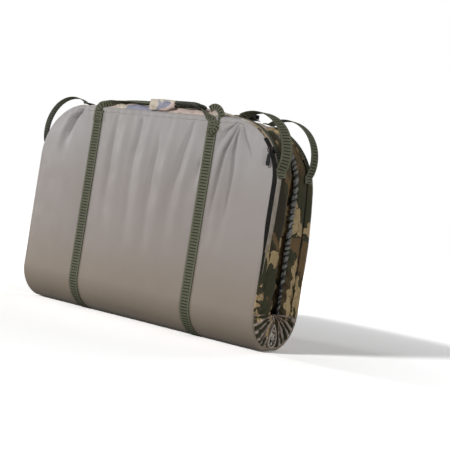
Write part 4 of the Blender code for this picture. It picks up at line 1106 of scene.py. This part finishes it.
loopSettings = {
    "standOff": 0.0047, "reach": 0.0300, "riseStart": 13, "riseEnd": 84, "low": 7, "high": 90,
    "freeStart": 22, "freeEnd": 76, "depth": {front: 0.0165, rear: 0.019}, "toe": {front: 0.40, rear: 0.0},
}


# Route of a corner loop between two angles in degrees. Its reach from the corner's centre is the corner
# radius, a stand-off, and an arch of sin(pi s)^0.8.
def loopPath(hand, side, low, high, count):
    settings = loopSettings
    turn = np.radians(np.linspace(low, high, count))
    share = (np.degrees(turn) - settings["riseStart"]) / (settings["riseEnd"] - settings["riseStart"])
    arch = np.sin(np.pi * np.clip(share, 0, 1)) ** 0.8
    reach = cornerRadius + settings["standOff"] + settings["reach"] * arch
    at = np.array(cornerHeight + cornerRadius * math.sin(math.pi / 4))
    y = side * (foldRadius - settings["depth"][side]) * float(slimAt(at, side))
    x = hand * (cornerPlace + reach * np.cos(turn))
    return np.stack([x, np.full(count, y), cornerHeight + reach * np.sin(turn)], 1)


# Corner loops: a ribbon that leaves the corner, rises in an arch and comes back to its stitched tab, in two
# halves that meet in the middle of the arch.
def makeLoop(hand, side):
    settings = loopSettings
    word, handWord = sideName(side), handName(hand)
    name = f"{word}{handWord.capitalize()}Loop"
    sideways = np.array([settings["toe"][side], hand, 0.0])
    middle = 0.5 * (settings["freeStart"] + settings["freeEnd"])
    for half, end, foot, turned in (("Low", "low", "freeStart", 1), ("High", "high", "freeEnd", -1)):
        path = smoothPath(loopPath(hand, side, settings[end], middle, 30), webSettings["spacing"] * 1.2)
        piece = webbing(name + half, path, np.tile(turned * sideways, (len(path), 1)))
        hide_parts(f"{word}_{handWord}_loop", f"{word}_{handWord}_loop_{end}_end")
        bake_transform(piece)


for hand, side in fourCorners:
    makeLoop(hand, side)
print("loops made")


stitchSettings = {
    "length": 0.0027, "gap": 0.0009, "radius": 0.00048, "bow": 0.0004, "proud": 0.00105, "half": 0.0085,
    "rightHalf": 0.0056, "from": 0.0020, "to": 0.0185, "low": (7.5, 13.0), "high": (84.0, 89.5),
}


# Stitching of the webbing's ends: stitches in a box with a cross. Each is a bow of six-sided sections that
# thin out to both ends, with radius sqrt(1 - s^2) along it.
def stitchBox(name, corner, along, across, out, body):
    settings = stitchSettings
    corners = [corner, corner + along, corner + along + across, corner + across]
    share, angle = np.linspace(-1, 1, 6), np.linspace(0, 2 * np.pi, 6, endpoint=False)
    radius = settings["radius"] * np.sqrt(np.clip(1 - share ** 2, 0.05, 1))
    patches = []
    for first, last in ((0, 1), (1, 2), (2, 3), (3, 0), (0, 2), (1, 3)):
        line = corners[last] - corners[first]
        size = np.linalg.norm(line)
        ahead = line / size
        sideways = np.cross(out, ahead)
        section = np.cos(angle)[:, None] * sideways + np.sin(angle)[:, None] * out
        count = max(int(size / (settings["length"] + settings["gap"])), 1)
        for k in range(count):
            middle = corners[first] + line * (k + 0.5) / count
            spine = middle + ahead * share[:, None] * settings["length"] / 2
            spine = spine + out * settings["bow"] * (1 - share ** 2)[:, None]
            patches.append(patch(spine[:, None] + radius[:, None, None] * section[None], tube=True))
    buildPiece(name, patches, threadLook, body)


# Stitches of a handle's end, on the sewn stretch of its route.
def stitchHandle(hand, side):
    settings, handles = stitchSettings, handleSettings
    word, handWord = sideName(side), handName(hand).capitalize()
    face, start, sewn = handleLevel(side)[0], handles["start"], handles["sewn"]
    lean = float(slimAt(np.array(start - sewn), side) / slimAt(np.array(start), side))
    heights = np.array([start - sewn + settings["from"], start - sewn + settings["to"]])
    ends = [face * lean + handles["footProud"], face]
    depths = np.interp(heights, [start - sewn, start], ends) + settings["proud"]
    half = settings["rightHalf"] if side == front and hand > 0 else settings["half"]
    low, high = (np.array([hand * mat["strapPlace"] - half, side * y, z]) for y, z in zip(depths, heights))
    stitchBox(f"{word}{handWord}HandleStitches", low, high - low, np.array([2 * half, 0, 0]),
              np.array([0.0, side, 0.0]), f"{word}_half")


# Stitches of both ends of a corner loop, square to its webbing there.
def stitchLoop(hand, side):
    settings = stitchSettings
    word, handWord = sideName(side), handName(hand).capitalize()
    for end in ("low", "high"):
        first, last = loopPath(hand, side, *settings[end], 2)
        turn = math.radians(sum(settings[end]) / 2)
        out = np.array([hand * math.cos(turn), 0, math.sin(turn)])
        along = last - first
        across = np.array([loopSettings["toe"][side], hand, 0.0])
        across = unit(across - along * np.dot(across, along) / np.dot(along, along)) * 2 * settings["half"]
        out = unit(out - across * np.dot(out, across) / np.dot(across, across))
        corner = first + out * settings["proud"] - across / 2
        stitchBox(f"{word}{handWord}Loop{end.capitalize()}Stitches", corner, along, across, out,
                  f"{word}_half")


for hand, side in fourCorners:
    stitchHandle(hand, side)
    stitchLoop(hand, side)
print("stitching made")


tapeSettings = {"from": 6, "to": 82, "proud": 0.0024, "depth": 0.0190, "width": 0.0112}


# Corner tapes: a narrower ribbed ribbon sewn round both top corners of each half.
def makeCornerTape(hand, side):
    settings = tapeSettings
    word, handWord = sideName(side), handName(hand)
    turn = np.radians(np.linspace(settings["from"], settings["to"], 130))
    stations = np.stack([np.full_like(turn, hand * cornerPlace), np.full_like(turn, cornerRun),
                         hand * np.cos(turn), np.sin(turn)], 1)
    path = outlinePoints(stations, -settings["proud"], settings["depth"], side)[:, 0]
    across = np.tile([0.0, hand, 0.0], (len(path), 1))
    piece = webbing(f"{word}{handWord.capitalize()}CornerTape", path, across, width=settings["width"])
    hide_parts(f"{word}_{handWord}_corner_tape")
    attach(piece, f"{word}_half")


for hand, side in fourCorners:
    makeCornerTape(hand, side)


zipSettings = {
    "lowHeight": 0.150, "taper": 0.10, "near": 0.0004, "far": 0.0092, "endTurn": 46, "coilPitch": 0.0024,
    "coilHeight": 0.0009, "coilHalf": 0.13, "proud": 0.0016, "under": 0.0004, "lip": 0.0040,
    "lipDepth": 0.0052, "bandFar": 0.0236, "bandTurn": 86, "bandProud": 0.0017, "bandUnder": 0.0006,
    "bandSwell": 0.0006,
}


# Stations up the right edge, from a height to an angle round the top corner.
def edgeStations(lowHeight, endTurn, spacing):
    runs = np.arange(bendRun + lowHeight - foldCentre, cornerRun, spacing)
    turns = np.radians(np.arange(0, endTurn + 1e-6, math.degrees(spacing / cornerRadius)))
    one = np.ones_like
    flat = np.stack([cornerPlace * one(runs), runs, one(runs), 0 * runs], 1)
    roundEnd = np.stack([cornerPlace * one(turns), cornerRun * one(turns), np.cos(turns), np.sin(turns)], 1)
    return np.vstack([flat, roundEnd])


# A closed strip from its outer side and its inner side.
def closeStrip(outer, inner):
    return np.concatenate([outer, inner[:, ::-1]], 1)


# Zip: a black tape up the right edge, tapering out of the cloth at its foot. The coil is a bell across the
# tape, with a cosine along it for the turns.
def makeZip():
    settings = zipSettings
    stations = edgeStations(settings["lowHeight"], settings["endTurn"], 0.0008)
    lengths = stationLengths(stations)[:, None]
    taper = ease(lengths / settings["taper"])
    across = np.linspace(0, 1, 15)[None, :]
    wide = 0.5 + (across - 0.5) * np.maximum(taper, 0.12)
    depth = settings["near"] + (settings["far"] - settings["near"]) * wide
    turns = 0.65 + 0.35 * np.cos(2 * np.pi * lengths / settings["coilPitch"])
    coil = np.exp(-((across - 0.5) / settings["coilHalf"]) ** 2) * turns
    lip = settings["lip"] * np.clip(1 - depth / settings["lipDepth"], 0, 1) ** 2
    raised = -settings["proud"] - settings["coilHeight"] * coil * taper
    outer = outlinePoints(stations, raised + lip, depth, front)
    inner = outlinePoints(stations, -settings["under"] + lip, depth, front)
    strip = patch(closeStrip(outer, inner), tube=True)
    tape = buildPiece("zipTape", [strip], tapeLook, "front_half")
    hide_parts("zip_tape")


# Edge band: a plain taupe strip beside the zip, with a slight swell.
def makeEdgeBand():
    settings = zipSettings
    stations = edgeStations(settings["lowHeight"], settings["bandTurn"], 0.004)
    taper = ease(stationLengths(stations)[:, None] / settings["taper"])
    across = np.linspace(0, 1, 7)[None, :]
    wide = (settings["bandFar"] - settings["far"]) * across * np.maximum(taper, 0.05)
    depth = settings["far"] + 0.0002 + wide
    swell = settings["bandSwell"] * np.sin(np.pi * across)
    outer = outlinePoints(stations, -settings["bandProud"] - swell, depth, front)
    inner = outlinePoints(stations, -settings["bandUnder"], depth, front)
    strip = patch(closeStrip(outer, inner), tube=True)
    buildPiece("edgeBand", [strip], bandLook, "front_half")


# Gives the CAD solids that stay in view their materials.
def dressFittings():
    looks = {"zip_slider": plasticLook, "zip_lug": metalLook, "zip_ring": metalLook,
             "zip_puller": plasticLook, "buckle_socket": plasticLook, "buckle_plug": plasticLook}
    for node, look in looks.items():
        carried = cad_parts[node]
        carried.data.materials.clear()
        carried.data.materials.append(look)


makeZip()
makeEdgeBand()
dressFittings()


bindingSettings = {
    "pitch": 0.0140, "width": 0.0066, "height": 0.0058, "depth": 0.58, "wind": -1.0, "crinkle": 0.24,
    "taper": 0.17, "footLoss": 0.42, "seat": 0.0058, "inset": 0.0095, "unevenPitch": 0.55,
}


# Rim binding: a rope-like ruffle round the rear tray's rim. Its radius falls to a sharp groove along a
# slant, once each pitch, so that the gathers wind round it; a finer crinkle lies on the gathers. Painted
# shade darkens the grooves and the rope towards the fold, and the gathers' crests are painted pale.
def makeBinding(name, side):
    settings = bindingSettings
    stations = outlineStations(bendRun + 0.001, 260, 160, 330)
    lengths = stationLengths(stations)
    angle = np.linspace(0, 2 * np.pi, 26, endpoint=False)
    phase = lengths[:, None] / settings["pitch"] + settings["wind"] * angle[None, :] / (2 * np.pi)
    phase = phase + settings["unevenPitch"] * noise(lengths[:, None] * 30, 2 + 0 * angle[None, :], 61)
    tooth = phase - np.floor(phase)
    gather = np.sin(np.pi * tooth) ** 0.6
    crinkle = noise(lengths[:, None] * 420 + 3, 20 + 2.4 * np.cos(angle)[None, :], 62)
    ruffle = 1 - settings["depth"] * (1 - gather) + settings["crinkle"] * (crinkle - 0.6) * gather
    toFold = 1 - ease((stations[:, 1:2] - bendRun) / settings["taper"])
    full = 1 - settings["footLoss"] * toFold
    ruffle = ruffle * full
    inset = settings["inset"] - settings["width"] * np.cos(angle)[None, :] * ruffle
    depth = rearRimDepth + 0.0003 + settings["seat"] * full
    depth = depth + settings["height"] * np.sin(angle)[None, :] * ruffle
    points = outlinePoints(stations, inset, depth, side)
    # Painted shade and highlight: crests of the gathers pale, grooves near black, darker towards the fold.
    shade = np.clip(0.15 + 0.75 * gather * (0.75 + 0.45 * crinkle) - 0.25 * toFold, 0, 1)
    piece = buildPiece(name, [patch(points, tube=True, rib=shade)], bindingLook, "rear_half")
    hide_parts("rear_rim_binding")


makeBinding("rearRimBinding", rear)
print("zip and binding made")


# The folds' borders are in degrees from straight down, and their heights are shares
pleatSettings = {
    "borders": {front: (-6, 16, 27, 38, 51, 66, 82, 97), rear: (-6, 14, 27, 41, 56, 72, 97)},
    "heights": {front: (0.4, 0.9, 0.7, 1.0, 0.8, 1.0, 0.7), rear: (0.4, 1.0, 0.75, 0.9, 0.7, 0.8)},
    "height": 0.0085, "swirl": 13, "inner": 0.004, "outer": 0.0742, "thick": 0.012, "seat": 0.0040,
    "bulge": 0.0015, "waver": 3.0, "crinkle": 0.16,
}
dropSettings = {
    "centre": (-0.0015, 0.0325), "half": (0.0145, 0.0250), "widest": 1.18, "waist": 0.08, "lipAt": 0.90,
    "lipHalf": 0.075, "lip": 0.0052, "cloth": 0.0022, "edge": 0.0070, "back": -0.0080, "proud": 0.0005,
}


# Pleated gussets at the ends of the fold: polar surfaces round the fold's centre. Rounded folds of cloth
# run from the centre outwards along bent lines, with sharp valleys between that painted shade darkens, and
# they level out round the rolled fold. Round the drop the painted shade closes in to a dark gap.
def makePleats(hand, side):
    settings = pleatSettings
    word, handWord = sideName(side), handName(hand)
    turn = np.linspace(0, math.pi / 2, 220)[:, None]
    share = np.linspace(0, 1, 90)[None, :]
    radius = settings["inner"] + (settings["outer"] - settings["inner"]) * share
    flat = foldPoints(0, turn * foldRadius, foldRadius - radius, side)
    y, z = flat[..., 1], flat[..., 2]

    borders, heights = (np.array(settings[key][side], float) for key in ("borders", "heights"))
    bent = np.degrees(turn) - settings["swirl"] * (1 - share) ** 1.4 * np.sin(turn * 1.6) ** 0.5
    bent = bent + settings["waver"] * noise(turn * 5 + 9, share * 4, 71 + side)
    which = np.clip(np.searchsorted(borders, bent, side="right") - 1, 0, len(heights) - 1)
    tooth = np.clip((bent - borders[which]) / (borders[which + 1] - borders[which]), 0, 1)
    ridge = np.sin(np.pi * tooth ** 0.8) ** 0.6
    crinkle = 0.5 * noise(y * 150 + 20, z * 150 + 20, 77 + hand)
    crinkle = crinkle + 0.5 * noise(y * 300 + 20, z * 300 + 20, 78 + hand)
    settle = ease(share * 5 + 0.1) * ease((0.955 - share) * 8)
    rise = settings["height"] * (heights[which] * ridge + settings["crinkle"] * crinkle) * settle
    # Painted shade and highlight: the valleys between the folds dark, their crests light.
    shade = np.clip(0.95 * ridge ** 1.4 + 0.25 * crinkle * ridge, 0, 1)

    centre, half = dropSettings["centre"], dropSettings["half"]
    away = np.hypot((y - centre[0]) / half[0], (z - centre[1]) / half[1])
    outside = ease((away - 0.85) / 0.30)
    # Painted shade: near the drop the shade values fall to 0, a dark gap round it.
    rise, shade = rise * outside, shade * outside

    x = mat["length"] / 2 - settings["seat"] + settings["bulge"] * np.sin(np.pi * share) + rise
    outer = flat * np.array([0, 1, 1]) + np.stack([hand * x, 0 * x, 0 * x], -1)
    inner = flat * np.array([0, 1, 1]) + np.array([hand * (mat["length"] / 2 - settings["thick"]), 0, 0])
    strip = patch(closeStrip(outer, inner), tube=True, rib=closeStrip(shade, shade))
    piece = buildPiece(f"{word}{handWord.capitalize()}Pleats", [strip], camoFolds)
    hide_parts(f"{word}_{handWord}_pleats", f"spine_{handWord}_pleats")
    bendAtHinge(piece)


# The rolled fold between the pleats: a drop outline, z = cos t and y = sin t times sin(t/2)^1.1, swept
# inwards. It has a raised lip, and inside the lip lies crinkled cloth; painted shade darkens the crinkles'
# hollows, the ring inside the lip and the rim outside it.
def makeDrop(hand):
    settings = dropSettings
    centre, half = settings["centre"], settings["half"]
    turn = np.linspace(0, 2 * np.pi, 120, endpoint=False)[None, :]
    share = np.concatenate([np.linspace(0.02, 1, 46), [1.0, 0.6, 0.02]])[:, None]
    outlineY = settings["widest"] * np.sin(turn) * np.sin(turn / 2) ** 1.1
    y = centre[0] + half[0] * outlineY * share
    z = centre[1] + half[1] * (settings["waist"] + (np.cos(turn) - settings["waist"]) * share)
    lip = np.exp(-((share - settings["lipAt"]) / settings["lipHalf"]) ** 2)
    crinkle = noise(y * 210 + 9, z * 210 + 11, 88) * 0.6 + noise(y * 420 + 9, z * 420 + 11, 89) * 0.4
    inside = 1 - ease((share - 0.70) / 0.12)
    height = settings["lip"] * lip + inside * (settings["cloth"] + settings["cloth"] * crinkle)
    height = height - settings["edge"] * ease((share - 0.93) / 0.07)
    height[-3:] = settings["back"]
    x = mat["length"] / 2 + settings["proud"] + height
    # Painted shade: low values in the crinkle hollows and round the lip darken the pale cream cloth.
    shade = np.clip(0.8 * lip + inside * (0.50 + 0.75 * crinkle), 0, 1) + 0 * y
    points = np.stack([hand * x + 0 * y, y, z], -1)
    buildPiece(f"{handName(hand)}FoldDrop", [patch(points, tube=True, rib=shade)], dropCloth, "spine")


for hand in (1, -1):
    makePleats(hand, front)
    makePleats(hand, rear)
    makeDrop(hand)


# The climb of the front tab is in shares of (its reach, its rise), from the wall to the plug
tabSettings = {"width": 0.018, "skin": 0.0009,
               "climb": [(1, 0), (0.82, 0), (0.65, 0), (0.3, 0.75), (0.15, 1), (0, 1)]}


# One tab: webbing along a line, in the place of a node, on a body.
def makeTab(name, node, body, line):
    path = smoothPath(line, webSettings["spacing"])
    piece = webbing(name, path, np.tile([1.0, 0, 0], (len(path), 1)), width=tabSettings["width"])
    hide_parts(node)
    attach(piece, body)


# Buckle tabs, from their nodes' boxes: short ribbed webbing stretches, level under the socket and up to the
# plug.
def makeTabs():
    settings = tabSettings
    low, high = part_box("rear_buckle_tab")
    x, level = (low.x + high.x) / 2, (low.z + high.z) / 2
    makeTab("rearBuckleTab", "rear_buckle_tab", "rear_half",
            [(x, y, level) for y in (low.y, (low.y + high.y) / 2, high.y)])
    low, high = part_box("front_buckle_tab")
    below, above = low.z + settings["skin"], high.z - settings["skin"]
    reach = high.y - low.y
    line = [(x, high.y - share * reach, below + climb * (above - below))
            for share, climb in settings["climb"]]
    makeTab("frontBuckleTab", "front_buckle_tab", "front_half", line)


makeTabs()
print("pleats and tabs made")


cameraSettings = {"place": (1.46008, -1.65908, 0.24579), "yaw": 0.66099, "pitch": 0.00798, "roll": 0.15857,
                  "lens": 83.19}


# Camera fitted to the photograph, in the frame's metres: its place, its yaw, pitch and roll, and its lens.
def makeCamera():
    yaw, pitch, roll = (cameraSettings[key] for key in ("yaw", "pitch", "roll"))
    forward = Vector((-math.sin(yaw) * math.cos(pitch), math.cos(yaw) * math.cos(pitch), -math.sin(pitch)))
    level = Vector((math.cos(yaw), math.sin(yaw), 0))
    upright = level.cross(forward)
    right = level * math.cos(roll) + upright * math.sin(roll)
    up = upright * math.cos(roll) - level * math.sin(roll)
    data = bpy.data.cameras.new("camera")
    data.lens, data.sensor_width = cameraSettings["lens"], 36
    camera = bpy.data.objects.new("camera", data)
    bpy.context.scene.collection.objects.link(camera)
    turned = Matrix((right, up, -forward)).transposed().to_4x4()
    camera.matrix_world = Matrix.Translation(Vector(cameraSettings["place"])) @ turned
    bpy.context.scene.camera = camera


makeCamera()


studioSettings = {
    "reach": 30, "target": (0, 0, 0.22), "floor": 0.40,
    "seenFloor": 1.96, "farFloor": 2.9, "rampStart": 0.4, "rampEnd": 2.0, "world": 0.10,
    "key": {"place": (-0.45, -3.4, 1.85), "angle": 7.0, "strength": 1.84},
    "side": {"place": (-3.0, -1.25, 0.55), "size": 0.7, "power": 40},
    "right": {"place": (2.9, -1.2, 0.36), "size": 0.9, "power": 36},
    "behind": {"place": (-0.2, 3.6, 0.36), "size": 0.9, "power": 74},
}


# One lamp aimed at the middle of the mat: a sun if it has a strength, and otherwise a disc.
def addLamp(name, place, size=0.5, power=10, angle=0, strength=None):
    data = bpy.data.lights.new(name, "SUN" if strength else "AREA")
    if strength:
        data.energy, data.angle = strength, math.radians(angle)
    else:
        data.shape, data.size, data.energy = "DISK", size, power
    lamp = bpy.data.objects.new(name, data)
    bpy.context.scene.collection.objects.link(lamp)
    lamp.location = place
    ahead = Vector(studioSettings["target"]) - Vector(place)
    lamp.rotation_euler = ahead.to_track_quat("-Z", "Y").to_euler()


# Floor: a square that light meets as mid grey. The camera sees it white, by a tone that ramps up with the
# distance, and the shadow stays on it.
def makeFloor():
    settings = studioSettings
    mesh = bpy.data.meshes.new("floor")
    ends = (-settings["reach"], settings["reach"])
    square = [(ends[0], ends[0], 0), (ends[1], ends[0], 0), (ends[1], ends[1], 0), (ends[0], ends[1], 0)]
    mesh.from_pydata(square, [], [(0, 1, 2, 3)])
    floor = bpy.data.objects.new("floor", mesh)
    bpy.context.scene.collection.objects.link(floor)
    floor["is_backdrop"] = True
    material = bpy.data.materials.new("studioFloor")
    material.use_nodes = True
    tree = material.node_tree
    tree.nodes.remove(tree.nodes["Principled BSDF"])
    plain = tree.nodes.new("ShaderNodeBsdfDiffuse")
    seenPath = tree.nodes.new("ShaderNodeLightPath")
    place = tree.nodes.new("ShaderNodeTexCoord")
    away = tree.nodes.new("ShaderNodeVectorMath")
    away.operation = "LENGTH"
    ramp = tree.nodes.new("ShaderNodeMapRange")
    for key, value in (("From Min", "rampStart"), ("From Max", "rampEnd"),
                       ("To Min", "seenFloor"), ("To Max", "farFloor")):
        ramp.inputs[key].default_value = settings[value]
    tree.links.new(place.outputs["Object"], away.inputs[0])
    tree.links.new(away.outputs["Value"], ramp.inputs["Value"])
    tone = tree.nodes.new("ShaderNodeMapRange")
    tone.inputs["To Min"].default_value = settings["floor"]
    tree.links.new(ramp.outputs[0], tone.inputs["To Max"])
    tree.links.new(seenPath.outputs["Is Camera Ray"], tone.inputs["Value"])
    tree.links.new(tone.outputs[0], plain.inputs["Color"])
    tree.links.new(plain.outputs[0], tree.nodes["Material Output"].inputs["Surface"])
    mesh.materials.append(material)


# World: even light, and white where the camera, a gloss or a glass looks at it.
def makeWorld():
    world = bpy.data.worlds.new("studio")
    bpy.context.scene.world = world
    world.use_nodes = True
    tree = world.node_tree
    background = tree.nodes["Background"]
    background.inputs["Color"].default_value = (1, 1, 1, 1)
    path = tree.nodes.new("ShaderNodeLightPath")
    seen = tree.nodes.new("ShaderNodeMath")
    seen.operation = "MAXIMUM"
    also = tree.nodes.new("ShaderNodeMath")
    also.operation = "MAXIMUM"
    strength = tree.nodes.new("ShaderNodeMapRange")
    tree.links.new(path.outputs["Is Camera Ray"], seen.inputs[0])
    tree.links.new(path.outputs["Is Glossy Ray"], seen.inputs[1])
    tree.links.new(seen.outputs[0], also.inputs[0])
    tree.links.new(path.outputs["Is Transmission Ray"], also.inputs[1])
    tree.links.new(also.outputs[0], strength.inputs["Value"])
    strength.inputs["To Min"].default_value = studioSettings["world"]
    strength.inputs["To Max"].default_value = 1.0
    tree.links.new(strength.outputs[0], background.inputs["Strength"])


# Studio: the floor, a low soft key light in front, a lamp far left that draws the folds, low lamps right
# and behind that open up the sides, and the world.
def makeStudio():
    makeFloor()
    for name in ("key", "side", "right", "behind"):
        addLamp(name, **studioSettings[name])
    makeWorld()
    bpy.context.scene.view_settings.view_transform = "Standard"


makeStudio()
print("studio made")

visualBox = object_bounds()
{"cad": [list(corner) for corner in cadBox], "visual": [list(corner) for corner in visualBox]}
